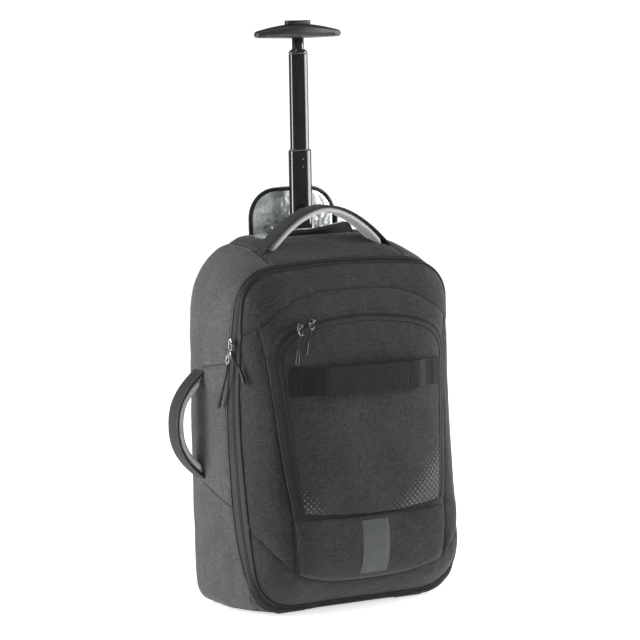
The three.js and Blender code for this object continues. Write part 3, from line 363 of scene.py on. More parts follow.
@dataclass(frozen=True)
class Webbing:
    """Flat polyester webbing: ribs straight across the strap, a soft sheen along it."""

    name: str
    colour: str
    rib: float = 1.9

    def build(self) -> Surface:
        """Makes the material.

        Returns:
            The surface.
        """
        cloth = Surface(self.name, Roughness=0.7, Specular_IOR_Level=0.25, Sheen_Weight=0.05, Sheen_Roughness=0.4)
        ribs = cloth.grain((self.rib * 0.7, 60.0, 60.0), 0.0)
        fibre = cloth.grain((0.8, 0.8, 5.0), 1.0)
        tone = cloth.out(MIX, {0: ribs, 6: linear("989898"), 7: linear(WHITE)}, COLOUR_OUT, data_type="RGBA")
        cloth.dye(linear(self.colour), tone)
        cloth.roughness(fibre, 0.65, 0.8)
        cloth.relief((ribs, 0.35), (fibre, 0.15))
        return cloth


@dataclass(frozen=True)
class SpacerMesh:
    """Knitted spacer mesh over foam: a pale knit with rows of small dark holes in a faint zigzag."""

    name: str
    pale: str
    dark: str
    cell: float = 2.6

    def build(self) -> Surface:
        """Makes the material.

        Returns:
            The surface.
        """
        cloth = Surface(self.name, Roughness=0.9, Specular_IOR_Level=0.2, Sheen_Weight=0.3, Sheen_Roughness=0.6)
        holes = {"Vector": cloth.mm, "Scale": 1 / self.cell, "Randomness": 0.35}
        cells = cloth.out("ShaderNodeTexVoronoi", holes, "Distance", feature="F1")
        fibre = cloth.grain((0.9, 0.9, 0.9), 1.0)
        x, y, z = add_node(cloth.tree, SPLIT, (cloth.mm,)).outputs
        rows = cloth.out(MATH, (y, self.cell * 2), operation="DIVIDE")
        zigzag = cloth.out(MATH, (rows, 0.5), operation="PINGPONG")
        run = cloth.out(MATH, (x, z), operation="ADD")
        along = cloth.out(MATH, (run, self.cell * 1.3), operation="DIVIDE")
        bent = cloth.out(MATH, (along, zigzag), operation="ADD")
        chevron = cloth.out(MATH, (bent, 0.5), operation="PINGPONG")
        fluff = cloth.out(MATH, (fibre, 0.3), operation="MULTIPLY")
        loops = cloth.out(MATH, (chevron, 0.9, fluff), operation="MULTIPLY_ADD")
        total = cloth.out(MATH, (cells, loops), operation="ADD")
        mesh = cloth.out(MATH, (total, 0.62), operation="MULTIPLY")
        cloth.feed("Base Color", cloth.shades(mesh, {0.12: self.dark, 0.42: self.pale}))
        cloth.relief((mesh, 0.45))
        return cloth


@dataclass(frozen=True)
class CoatedLining:
    """Silver-coated lining: thin metallic film on cloth, soft mirror shine broken up by creases."""

    name: str
    colour: str

    def build(self) -> Surface:
        """Makes the material.

        Returns:
            The surface.
        """
        film = Surface(self.name, Metallic=0.55, Roughness=0.38)
        creases = film.grain((26, 26, 34), 4.0, 0.6)
        weave = film.grain((1.2, 1.2, 1.2), 1.0)
        # The colour follows the creases' bump: painted shade in their hollows and a painted highlight on their
        # ridges.
        film.feed("Base Color", film.shades(creases, {0.35: "a3abac", 0.5: self.colour, 0.65: "eef1f1"}))
        film.roughness(creases, 0.3, 0.44)
        film.relief((creases, 1.8), (weave, 0.06))
        return film


@dataclass(frozen=True)
class Anodised:
    """Gloss black anodised aluminium, drawn along its length: mirror-like with faint draw lines."""

    name: str
    colour: str

    def build(self) -> Surface:
        """Makes the material.

        Returns:
            The surface.
        """
        metal = Surface(self.name, Metallic=0.0, Roughness=0.12, Coat_Weight=0.6, Coat_Roughness=0.06)
        lines = metal.grain((0.5, 0.5, 160), 1.0)
        scuffs = metal.grain((9, 9, 60), 3.0)
        metal.dye(linear(self.colour), linear("1b1d20"), lines, "MIX")
        metal.roughness(scuffs, 0.08, 0.2)
        metal.relief((lines, 0.01))
        return metal


@dataclass(frozen=True)
class Moulded:
    """Injection-moulded plastic with a fine eroded texture: satin, slightly paler where it is worn."""

    name: str
    colour: str
    rough: float = 0.45
    grit: float = 0.8
    depth: float = 0.06

    def build(self) -> Surface:
        """Makes the material.

        Returns:
            The surface.
        """
        plastic = Surface(self.name, Roughness=self.rough, IOR=1.5)
        pits = plastic.grain((self.grit,) * 3, 1.0)
        wear = plastic.grain((18, 18, 18), 4.0)
        plastic.dye(linear(self.colour), plastic.shades(wear, {0.35: "d2d2d2", 0.7: WHITE}))
        plastic.roughness(wear, self.rough + 0.07, self.rough - 0.07)
        plastic.relief((pits, self.depth))
        return plastic


@dataclass(frozen=True)
class Rubber:
    """Moulded tyre rubber: nearly black, dull, dusty in the grain."""

    name: str
    colour: str

    def build(self) -> Surface:
        """Makes the material.

        Returns:
            The surface.
        """
        rubber = Surface(self.name, Roughness=0.8, Specular_IOR_Level=0.35)
        dust = rubber.grain((7, 7, 7), 4.0)
        rubber.feed("Base Color", rubber.shades(dust, {0.4: self.colour, 0.75: "34332f"}))
        rubber.roughness(dust, 0.7, 0.9)
        rubber.relief((rubber.grain((1.1,) * 3, 1.0), 0.1))
        return rubber


@dataclass(frozen=True)
class CastMetal:
    """Nickel-plated zinc casting: bright, lightly dulled by handling."""

    name: str
    colour: str

    def build(self) -> Surface:
        """Makes the material.

        Returns:
            The surface.
        """
        metal = Surface(self.name, Metallic=1.0, Roughness=0.28)
        haze = metal.grain((3, 3, 3), 3.0)
        metal.feed("Base Color", metal.shades(haze, {0.35: "8f9496", 0.6: self.colour}))
        metal.roughness(haze, 0.22, 0.38)
        metal.relief((haze, 0.03))
        return metal


# Meshes


def unit(vectors: np.ndarray) -> np.ndarray:
    """Vectors at length 1, or 0 where they have none."""
    size = np.linalg.norm(vectors, axis=-1, keepdims=True)
    return vectors / np.maximum(size, 1e-12) * (size > 1e-12)


def merged(name: str) -> tuple[np.ndarray, np.ndarray]:
    """A node's points and triangles with its loose triangles joined.

    Args:
        name: The CAD node.

    Returns:
        Points in metres, and triangles.
    """
    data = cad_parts[name].data
    data.calc_loop_triangles()
    points = np.zeros(len(data.vertices) * 3, np.float32)
    faces = np.zeros(len(data.loop_triangles) * 3, np.int32)
    data.vertices.foreach_get("co", points)
    data.loop_triangles.foreach_get("vertices", faces)
    points = points.reshape(-1, 3).astype(float)
    _, first, whole = np.unique(np.round(points / (0.01 * MM)), axis=0, return_index=True, return_inverse=True)
    faces = whole.ravel()[faces].reshape(-1, 3)
    kept = (faces[:, 0] != faces[:, 1]) & (faces[:, 1] != faces[:, 2]) & (faces[:, 2] != faces[:, 0])
    return points[first], faces[kept]


def edges_of(faces: np.ndarray) -> tuple[np.ndarray, np.ndarray]:
    """The different edges of triangles, and for each triangle the numbers of its three edges.

    Args:
        faces: The triangles.

    Returns:
        Edges as pairs of point numbers, and three edge numbers for each triangle.
    """
    pairs = np.sort(np.stack([faces, np.roll(faces, -1, 1)], 2).reshape(-1, 2), axis=1)
    edges, index = np.unique(pairs, axis=0, return_inverse=True)
    return edges, index.reshape(-1, 3)


def face_normals(points: np.ndarray, faces: np.ndarray) -> np.ndarray:
    """Each triangle's normal, as long as twice its area."""
    a, b, c = (points[faces[:, i]] for i in range(3))
    return np.cross(b - a, c - a)


def point_normals(points: np.ndarray, faces: np.ndarray) -> np.ndarray:
    """Each point's unit normal, from the triangles round it weighted by their angles there.

    Args:
        points: The points.
        faces: The triangles.

    Returns:
        A normal for each point.
    """
    flat = unit(face_normals(points, faces))
    total = np.zeros_like(points)
    for i in range(3):
        here, ahead, behind = (points[faces[:, (i + k) % 3]] for k in range(3))
        angle = np.arccos(np.clip((unit(ahead - here) * unit(behind - here)).sum(1), -1, 1))
        np.add.at(total, faces[:, i], flat * angle[:, None])
    return unit(total)


def linked(name: str, data: bpy.types.ID) -> Thing:
    """Puts an object with this data in the scene, at the origin.

    Args:
        name: Its name.
        data: Its mesh, camera or light.

    Returns:
        The object.
    """
    thing = bpy.data.objects.new(name, data)
    bpy.context.scene.collection.objects.link(thing)
    return thing


def new_object(name: str, points: np.ndarray, faces: np.ndarray | list, surface: Surface) -> Thing:
    """Makes a smooth-shaded mesh object at the origin.

    Args:
        name: Its name.
        points: Its points in metres.
        faces: Its faces.
        surface: Its material.

    Returns:
        The object.
    """
    mesh = bpy.data.meshes.new(name)
    mesh.from_pydata(np.asarray(points).tolist(), [], faces.tolist() if isinstance(faces, np.ndarray) else faces)
    mesh.polygons.foreach_set("use_smooth", [True] * len(mesh.polygons))
    mesh.materials.append(surface.material)
    return linked(name, mesh)


def tree_of(points: np.ndarray) -> KDTree:
    """A tree for finding the nearest of these points.

    Args:
        points: The points.

    Returns:
        The tree.
    """
    tree = KDTree(len(points))
    for i, point in enumerate(points):
        tree.insert(point, i)
    tree.balance()
    return tree


def spaced(line: np.ndarray, step: float, closed: bool = False) -> np.ndarray:
    """A polyline again, with points an even step apart.

    Args:
        line: The polyline.
        step: Between points, in metres.
        closed: Whether it is a loop.

    Returns:
        The new points.
    """
    if closed:
        line = np.vstack([line, line[:1]])
    along = np.concatenate([[0], np.cumsum(np.linalg.norm(np.diff(line, axis=0), axis=1))])
    count = max(2, round(along[-1] / step) + 1)
    places = np.linspace(0, along[-1], count)[: -1 if closed else None]
    return np.stack([np.interp(places, along, line[:, k]) for k in range(3)], axis=1)


def eased(line: np.ndarray, passes: int, closed: bool = False) -> np.ndarray:
    """A polyline smoothed, with its ends kept where it is open.

    Args:
        line: The polyline.
        passes: How often it is smoothed.
        closed: Whether it is a loop.

    Returns:
        The new points.
    """
    line = line.copy()
    for _ in range(passes):
        middle = (np.roll(line, 1, 0) + np.roll(line, -1, 0)) / 2
        if closed:
            line = (line + middle) / 2
        else:
            line[1:-1] = (line[1:-1] + middle[1:-1]) / 2
    return line


def tangents(line: np.ndarray, closed: bool = False) -> np.ndarray:
    """The unit direction of a polyline, or of a loop, at each of its points."""
    return unit(np.roll(line, -1, 0) - np.roll(line, 1, 0) if closed else np.gradient(line, axis=0))


def swept(line: np.ndarray, normals: np.ndarray, outline: list[tuple[float, float]],
          closed: bool = False) -> Shape:
    """Sweeps an outline along a line.

    Args:
        line: The points that it follows.
        normals: Which way is up at each point.
        outline: The section anticlockwise as seen against the line's direction, sideways and up, in metres.
        closed: Whether the line is a loop. An open sweep gets flat ends.

    Returns:
        Points, and faces as lists.
    """
    ahead = tangents(line, closed)
    side = unit(np.cross(ahead, normals))
    up = np.cross(side, ahead)
    sides, count = len(outline), len(line)
    points = np.vstack([line + side * u + up * v for u, v in outline])
    where = lambda i, k: (k % sides) * count + i % count
    faces = []
    for i in range(count if closed else count - 1):
        for k in range(sides):
            faces.append([where(i, k), where(i, k + 1), where(i + 1, k + 1), where(i + 1, k)])
    if not closed:
        faces.append([where(0, k) for k in reversed(range(sides))])
        faces.append([where(count - 1, k) for k in range(sides)])
    return points, faces


def round_outline(radius: float, sides: int = 8, flat: float = 1.0) -> list[tuple[float, float]]:
    """A round section, or an oval one where flat isn't 1."""
    turn = [2 * math.pi * k / sides for k in range(sides)]
    return [(radius * math.cos(a), radius * flat * math.sin(a)) for a in turn]


def between(rings: int, count: int, closed: bool) -> list:
    """The faces between rings of points that follow each other.

    Args:
        rings: How many rings.
        count: How many points each has.
        closed: Whether the last joins the first. Otherwise the ends are flat.

    Returns:
        The faces.
    """
    faces = []
    for k in range(rings if closed else rings - 1):
        here, ahead = k * count, (k + 1) % rings * count
        faces += [[here + i, here + (i + 1) % count, ahead + (i + 1) % count, ahead + i] for i in range(count)]
    if not closed:
        faces += [list(reversed(range(count))), [(rings - 1) * count + i for i in range(count)]]
    return faces


def outwards(thing: Thing) -> Thing:
    """Merges a mesh's doubles and turns its faces outwards.

    Args:
        thing: The object.

    Returns:
        The same object.
    """
    mesh = bmesh.new()
    mesh.from_mesh(thing.data)
    bmesh.ops.remove_doubles(mesh, verts=mesh.verts, dist=0.001 * MM)
    bmesh.ops.recalc_face_normals(mesh, faces=mesh.faces)
    mesh.to_mesh(thing.data)
    mesh.free()
    return thing


@dataclass
class SeamLine:
    """A run of one panel's seam."""

    points: np.ndarray
    normals: np.ndarray
    inward: np.ndarray
    closed: bool
    panel: "Panel"

    def inset(self, distance: float, step: float) -> Run:
        """A line on the panel beside its seam.

        Args:
            distance: From the seam into the panel, in millimetres.
            step: Between the line's points, in millimetres.

        Returns:
            Points and normals.
        """
        moved = self.points + self.inward * distance * MM
        moved = eased(spaced(moved, step * MM, self.closed), 2, self.closed)
        return self.panel.drop(moved)


class Panel:
    """A refined, smooth copy of one node's solid, whose outer face can be puffed and creased.

    The node's faces fall into regions with sharp edges between them. The largest region that faces away from the
    bag is the panel's outer face, and the edge round it is its seam.
    """

    def __init__(self, node: str, coarse: float = 5.0, fine: float = 2.2, sharp: float = 42.0,
                 centre: np.ndarray | None = None) -> None:
        """Reads and refines a node.

        Args:
            node: The CAD node.
            coarse: Longest edge in the middle of the face, in millimetres.
            fine: Longest edge next to the seam.
            sharp: Edges that bend more than this many degrees stay sharp.
            centre: The point that the outer face looks away from.
        """
        self.node = node
        self._tree: BVHTree | None = None
        self._smooth: np.ndarray | None = None
        self.points, self.faces = merged(node)
        if centre is None:
            centre = at(0, 20, 265)
        self._find_outer(math.cos(math.radians(sharp)), centre)
        self._mark_seam()
        self._refine(coarse * MM, fine * MM)
        self._relax(6)

    def _find_outer(self, flat_enough: float, centre: np.ndarray) -> None:
        """Labels the regions between sharp edges and picks the outer one.

        Args:
            flat_enough: The cosine of the sharpest bend inside a region.
            centre: What the outer face looks away from.
        """
        _, index = edges_of(self.faces)
        normals = unit(face_normals(self.points, self.faces))
        order = np.argsort(index.ravel(), kind="stable")
        owner, edge = order // 3, index.ravel()[order]
        pair = np.flatnonzero(edge[1:] == edge[:-1])
        a, b = owner[pair], owner[pair + 1]
        soft = (normals[a] * normals[b]).sum(1) > flat_enough
        a, b = a[soft], b[soft]
        label = np.arange(len(self.faces))
        while True:
            low = np.minimum(label[a], label[b])
            new = label.copy()
            np.minimum.at(new, a, low)
            np.minimum.at(new, b, low)
            if (new == label).all():
                break
            label = new
        areas = face_normals(self.points, self.faces)
        best, self.outer = -1.0, np.zeros(len(self.faces), bool)
        for kind in np.unique(label):
            chosen = label == kind
            away = self.points[self.faces[chosen]].mean(1) - centre
            seen = (areas[chosen] * unit(away)).sum()
            if seen > best:
                best, self.outer = seen, chosen

    def _edges(self) -> tuple[np.ndarray, np.ndarray, np.ndarray]:
        """Every edge, the three edges of each triangle, and how many of the outer face's triangles an edge has."""
        edges, index = edges_of(self.faces)
        return edges, index, np.bincount(index[self.outer].ravel(), minlength=len(edges))

    def _mark_seam(self) -> None:
        """Finds the edge round the outer face, with its corners and directions."""
        edges, _, count = self._edges()
        rim = edges[count == 1]
        self.normals = point_normals(self.points, self.faces[self.outer])
        self.lines = np.zeros_like(self.points)
        beside: dict[int, list[int]] = {}
        for a, b in rim:
            beside.setdefault(int(a), []).append(int(b))
            beside.setdefault(int(b), []).append(int(a))
        for point, near in beside.items():
            if len(near) == 2:
                first, second = (unit(self.points[n] - self.points[point]) for n in near)
                if first @ second < -0.7:
                    self.lines[point] = unit(second - first)
        share = np.linspace(0, 1, 24, endpoint=False)[:, None, None]
        dense = (self.points[rim[:, 0]] * (1 - share) + self.points[rim[:, 1]] * share).reshape(-1, 3)
        self.seam_tree = tree_of(dense)

    def from_seam(self, points: np.ndarray) -> np.ndarray:
        """How far points are from the seam."""
        return np.array([self.seam_tree.find(p)[2] for p in points])

    def _refine(self, coarse: float, fine: float) -> None:
        """Splits the outer face's long edges, each new point on the curve that the normals or the seam ask for.

        Args:
            coarse: Longest edge in the middle of the face, in metres.
            fine: Longest edge next to the seam.
        """
        while True:
            edges, index, count = self._edges()
            ends = self.points[edges]
            length = np.linalg.norm(ends[:, 0] - ends[:, 1], axis=1)
            limit = np.full(len(edges), coarse)
            near = (count > 0) & (length > fine)
            away = self.from_seam(ends[near].mean(1))
            limit[near] = fine + (coarse - fine) * np.clip((away - 4 * MM) / (16 * MM), 0, 1)
            over = (length > limit) & (count > 0)
            longest = length[index].max(1)
            split = np.zeros(len(edges), bool)
            chosen = index[self.outer]
            wanted = over[chosen] & (length[chosen] >= 0.7 * longest[self.outer][:, None])
            split[chosen[wanted]] = True
            if not split.any():
                return
            self._split(edges, index, split, count == 1)

    def _split(self, edges: np.ndarray, index: np.ndarray, split: np.ndarray, rim: np.ndarray) -> None:
        """Puts a point on each marked edge and makes the triangles again.

        Args:
            edges: Every edge.
            index: The three edges of each triangle.
            split: Which edges are marked.
            rim: Which edges are on the seam.
        """
        a, b = edges[split].T
        middle = (self.points[a] + self.points[b]) / 2
        ahead = self.points[b] - self.points[a]
        on_rim = rim[split]
        shift = np.zeros_like(middle)
        for end in (a, b):
            off = middle - self.points[end]
            flat = -(off * self.normals[end]).sum(1)[:, None] * self.normals[end]
            line = self.lines[end]
            straight = (off * line).sum(1)[:, None] * line - off
            straight[np.linalg.norm(line, axis=1) < 0.5] = 0
            shift += 0.25 * np.where(on_rim[:, None], straight, flat)
        reach = 0.12 * np.linalg.norm(ahead, axis=1, keepdims=True)
        size = np.linalg.norm(shift, axis=1, keepdims=True)
        shift *= np.minimum(1, reach / np.maximum(size, 1e-12))
        lines = [self.lines[end] * np.sign((self.lines[end] * ahead).sum(1))[:, None] for end in (a, b)]
        either = np.where(on_rim[:, None], unit(lines[0] + lines[1]), 0)
        first_new = len(self.points)
        self.points = np.vstack([self.points, middle + shift])
        self.normals = np.vstack([self.normals, unit(self.normals[a] + self.normals[b])])
        self.lines = np.vstack([self.lines, either])
        number = np.full(len(edges), -1)
        number[split] = first_new + np.arange(split.sum())
        new = number[index]
        marks = new >= 0
        faces, outer = [self.faces[~marks.any(1)]], [self.outer[~marks.any(1)]]
        for turn in range(3):
            v = np.roll(self.faces, -turn, 1)
            m = np.roll(new, -turn, 1)
            k = np.roll(marks, -turn, 1)
            one = k[:, 0] & ~k[:, 1] & ~k[:, 2]
            faces += [np.stack([m[one, 0], v[one, 1], v[one, 2]], 1), np.stack([m[one, 0], v[one, 2], v[one, 0]], 1)]
            two = k[:, 0] & k[:, 1] & ~k[:, 2]
            faces += [np.stack([m[two, 0], v[two, 1], m[two, 1]], 1)]
            short = (np.linalg.norm(self.points[v[:, 0]] - self.points[m[:, 1]], axis=1)
                     < np.linalg.norm(self.points[m[:, 0]] - self.points[v[:, 2]], axis=1))
            one_way, other = two & short, two & ~short
            faces += [np.stack([v[one_way, 0], m[one_way, 0], m[one_way, 1]], 1),
                      np.stack([v[one_way, 0], m[one_way, 1], v[one_way, 2]], 1),
                      np.stack([v[other, 0], m[other, 0], v[other, 2]], 1),
                      np.stack([m[other, 0], m[other, 1], v[other, 2]], 1)]
            outer += [self.outer[one]] * 2 + [self.outer[two]] + [self.outer[one_way]] * 2 + [self.outer[other]] * 2
        every = marks.all(1)
        v, m = self.faces[every], new[every]
        faces += [np.stack([v[:, i], m[:, i], m[:, (i + 2) % 3]], 1) for i in range(3)] + [m]
        outer += [self.outer[every]] * 4
        self.faces, self.outer = np.vstack(faces), np.concatenate(outer)

    def _relax(self, passes: int) -> None:
        """Evens out the outer face, with its seam kept.

        Args:
            passes: How often.
        """
        edges, _, count = self._edges()
        inner = edges[count > 0]
        fixed = np.ones(len(self.points), bool)
        fixed[self.faces[self.outer]] = False
        fixed[edges[count == 1]] = True
        degree = np.bincount(inner.ravel(), minlength=len(self.points))[:, None]
        for _ in range(passes):
            total = np.zeros_like(self.points)
            np.add.at(total, inner[:, 0], self.points[inner[:, 1]])
            np.add.at(total, inner[:, 1], self.points[inner[:, 0]])
            mean = total / np.maximum(degree, 1)
            self.points = np.where(fixed[:, None], self.points, (self.points + mean) / 2)

    def puff(self, height: float, rise: float, sunk: float, creases: float, seed: int, drape: float = 0.0) -> "Panel":
        """Lifts the outer face off its seam and lays soft creases in it.

        Args:
            height: How far the middle stands proud of the solid, in millimetres.
            rise: How far from the seam the cloth takes to come up.
            sunk: How far the seam itself is pulled in.
            creases: Depth of the short puckers beside the seam.
            seed: Which part of the noise is used.
            drape: Depth of the broad soft waves in the middle of the face.

        Returns:
            This panel.
        """
        used = np.unique(self.faces[self.outer])
        normals = point_normals(self.points, self.faces[self.outer])
        away = self.from_seam(self.points[used]) / MM
        shift = np.array([seed * 7.3, seed * 3.1, seed * 5.7])
        lift = np.empty(len(used))
        short, longer, broad, middling = 9, 21, (62, 62, 95), 31  # lengths of the creases in millimetres
        for i, (point, d) in enumerate(zip(self.points[used] / MM, away)):
            up = 1 - math.exp(-d / rise)
            pucker = noise.noise(Vector(point / short + shift)) + 0.6 * noise.noise(Vector(point / longer - shift))
            wave = noise.noise(Vector(point / broad + shift)) + 0.4 * noise.noise(Vector(point / middling + shift))
            lift[i] = height * up - sunk * (1 - up) + creases * pucker * math.exp(-d / 11) * min(1, d / 3)
            lift[i] += drape * wave * up
        self.points[used] += normals[used] * lift[:, None] * MM
        return self

    def loops(self) -> list[np.ndarray]:
        """The seam round the outer face as closed loops of point numbers, the face on the left of each.

        Returns:
            The loops, the longest first.
        """
        _, index, count = self._edges()
        follow = {}
        faces, numbers = self.faces[self.outer], index[self.outer]
        for i in range(3):
            on = count[numbers[:, i]] == 1
            follow.update(zip(faces[on, i].tolist(), faces[on, (i + 1) % 3].tolist()))
        found = []
        while follow:
            start, point = follow.popitem()
            ring = [start]
            while point != start:
                ring.append(point)
                point = follow.pop(point, start)
            found.append(np.array(ring))
        return sorted(found, key=lambda ring: -len(ring))

    def seam(self, near: list["Panel"], away: bool = False, reach: float = 3.2) -> "SeamLine":
        """The longest run of this panel's seam that lies beside other panels, or away from them.

        Args:
            near: The panels beside it.
            away: Whether the run is the part that lies beside none of them.
            reach: How near counts as beside, in millimetres.

        Returns:
            The run, with the panel on its left.
        """
        normals = point_normals(self.points, self.faces[self.outer])
        best = None
        for ring in self.loops():
            close = [min(other.seam_tree.find(self.points[i])[2] for other in near) < reach * MM for i in ring]
            wanted = np.array(close) != away
            if wanted.all():
                run, closed = ring, True
            else:
                start = int(np.argmin(wanted))
                turned, mask = np.roll(ring, -start), np.roll(wanted, -start)
                cuts = np.flatnonzero(np.diff(np.concatenate([[0], mask.astype(int), [0]])))
                runs = [turned[a:b] for a, b in zip(cuts[::2], cuts[1::2])]
                run, closed = max(runs, key=len, default=turned[:0]), False
            if best is None or len(run) > len(best[0]):
                best = (run, closed)
        run, closed = best
        line, face = self.points[run], normals[run]
        inward = unit(np.cross(face, tangents(line, closed)))
        return SeamLine(line, face, inward, closed, self)

    def drop(self, points: np.ndarray) -> Run:
        """The nearest points of the outer face, and its smooth normals there.

        Args:
            points: What is dropped on the face.

        Returns:
            Points and normals.
        """
        if self._tree is None:
            self._tree = BVHTree.FromPolygons(self.points.tolist(), self.faces[self.outer].tolist())
            self._smooth = point_normals(self.points, self.faces[self.outer])
        faces = self.faces[self.outer]
        where, up = [], []
        for point in points:
            near, _, face, _ = self._tree.find_nearest(Vector(point))
            corners = faces[face]
            away = np.linalg.norm(self.points[corners] - np.array(near), axis=1)
            share = 1 / np.maximum(away, 0.01 * MM)
            up.append((self._smooth[corners] * share[:, None]).sum(0))
            where.append(near)
        return np.array(where), unit(np.array(up))

    def build(self, surface: Surface, body: str = "bag", name: str = "") -> Thing:
        """Makes the object, which stands for the node.

        Args:
            surface: Its material.
            body: The body that it rides on.
            name: Its name, if not made from the node's.

        Returns:
            The object.
        """
        thing = new_object(name or self.node.replace("_panel", "_cloth") + "_sewn", self.points, self.faces, surface)
        edges, _, count = self._edges()
        rim = {tuple(e) for e in edges[count == 1].tolist()}
        hard = [tuple(sorted(e.vertices)) in rim for e in thing.data.edges]
        thing.data.attributes.new("sharp_edge", "BOOLEAN", "EDGE").data.foreach_set("value", hard)
        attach(thing, body)
        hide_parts(self.node)
        LOG.info("%s: %d faces", thing.name, len(self.faces))
        return thing


# Pieces


class Side(Enum):
    """The bag's left and right, as seen from its front."""

    LEFT = -1
    RIGHT = 1


class Finishes:
    """Every material of the bag."""

    def __init__(self) -> None:
        """Makes them in order."""
        # One melange cloth in two copies: the side's is painted lighter as painted light; the front's, also used on
        # the top, is painted darker as painted shade.
        self.side = Melange("melange_polyester_side", "383637", "474546", "595657").build()
        self.front = Melange("melange_polyester_front", *SHADED_FRONT_TONES).build()
        self.dark = PlainWeave("plain_woven_polyester", "2c2e2f").build()
        self.tape = PlainWeave("coated_zip_tape", "1d2225", 1.1, 0.55).build()
        self.binding = PlainWeave("grosgrain_binding", "1a1b1c", 1.0).build()
        self.thread = PlainWeave("bonded_sewing_thread", "8f8d8e", 0.5, 0.6).build()
        self.webbing = Webbing("polyester_webbing", "121516").build()
        self.mesh = SpacerMesh("spacer_mesh", "b9b6b5", "6b6867").build()
        self.lining = CoatedLining("silver_coated_lining", "d2d7d8").build()
        self.film = Moulded("reflective_film", "404446", 0.42, 0.5, 0.02).build()
        self.pole = Anodised("black_anodised_aluminium", "0b0c0e").build()
        self.satin = Moulded("satin_abs", "202426", 0.38).build()
        self.textured = Moulded("textured_polypropylene", "1c1e20", 0.6, 1.0, 0.12).build()
        self.nylon = Moulded("moulded_nylon", "0d0e0f", 0.5, 0.5, 0.03).build()
        self.hub = Moulded("grey_polypropylene", "55595c", 0.5).build()
        self.rubber = Rubber("tyre_rubber", "161718").build()
        self.nickel = CastMetal("nickel_plated_zinc", "94979a").build()
        self.gunmetal = CastMetal("black_nickel_plated_zinc", "2b2d2f").build()
        self.hooded = HoodedTape("zip_tape_under_cloth_hood").build()
        self.printed = Halftone("printed_melange_polyester").build()


class Cloth(Enum):
    """The finishes that a panel of the body can have, as Finishes names them."""

    # The side and front finishes are lit and shaded copies of one melange: painted light and painted shade.
    SIDE = "side"
    FRONT = "front"
    DARK = "dark"
    TAPE = "tape"
    HOODED = "hooded"
    PRINTED = "printed"


@dataclass
class PanelStyle:
    """How one panel of the body is puffed, in millimetres, and its finish."""

    node: str
    finish: Cloth
    height: float = 1.4
    rise: float = 7.0
    sunk: float = 0.9
    creases: float = 0.7
    drape: float = 1.2
    slot: str = "front_fabric"
    coarse: float = 5.0
    fine: float = 2.2


@dataclass
class BagBody:
    """The sewn body: tub panels, the zip bands and the front panels."""

    finishes: Finishes
    styles: tuple[PanelStyle, ...] = (
        PanelStyle("side_panel_left", Cloth.SIDE, 1.5, 9, 1.0, 0.9, 2.0, "side_fabric"),
        PanelStyle("side_panel_right", Cloth.SIDE, 1.5, 9, 1.0, 0.9, 2.0, "side_fabric"),
        PanelStyle("top_panel", Cloth.FRONT, 1.4, 8, 0.9, 0.8, 1.4),
        PanelStyle("back_panel", Cloth.DARK, 0.8, 6, 0.8, 0.4, 0.6, "dark_fabric", 6.0, 3.0),
        PanelStyle("base_panel", Cloth.DARK, 0.5, 5, 0.5, 0.4, 0.4, "dark_fabric", 6.0, 3.0),
        PanelStyle("front_yoke", Cloth.FRONT, 1.5, 9, 0.8, 0.7, 1.2),
        PanelStyle("front_lower", Cloth.FRONT, 1.2, 7, 0.8, 0.6, 0.8),
        PanelStyle("front_middle", Cloth.FRONT, 0.6, 7, 0.8, 0.4, 0.4, "front_fabric", 6.0, 3.0),
        PanelStyle("front_side_left", Cloth.FRONT, 1.6, 8, 0.8, 0.8, 1.0),
        PanelStyle("front_side_right", Cloth.FRONT, 1.6, 8, 0.8, 0.8, 1.0),
        PanelStyle("main_zip_band", Cloth.TAPE, 0.3, 3, 0.2, 0.15, 0.3, "zip_tape"),
        PanelStyle("pocket_zip_band", Cloth.HOODED, 0.2, 3, 0.2, 0.15, 0.2, "zip_tape"),
        PanelStyle("pocket_panel", Cloth.PRINTED, 1.0, 9, 0.6, 0.5, 1.0),
        PanelStyle("lower_pocket", Cloth.FRONT, 0.8, 7, 0.5, 0.4, 0.6),
    )
    panels: dict[str, Panel] = field(default_factory=dict)
    clearance: float = 1.5

    def build(self) -> None:
        """Makes every panel."""
        for seed, style in enumerate(self.styles):
            panel = Panel(style.node, style.coarse, style.fine)
            panel.puff(style.height, style.rise, style.sunk, style.creases, seed, style.drape)
            panel.points[:, 2] = np.maximum(panel.points[:, 2], self.clearance * MM)
            panel.build(getattr(self.finishes, style.finish.value))
            self.panels[style.node] = panel


# What repeats


class Item(Enum):
    """What a row repeats: a stitch or a rib is round all over, and a stud is a disc."""

    STITCH = "stitch"
    RIB = "rib"
    STUD = "stud"


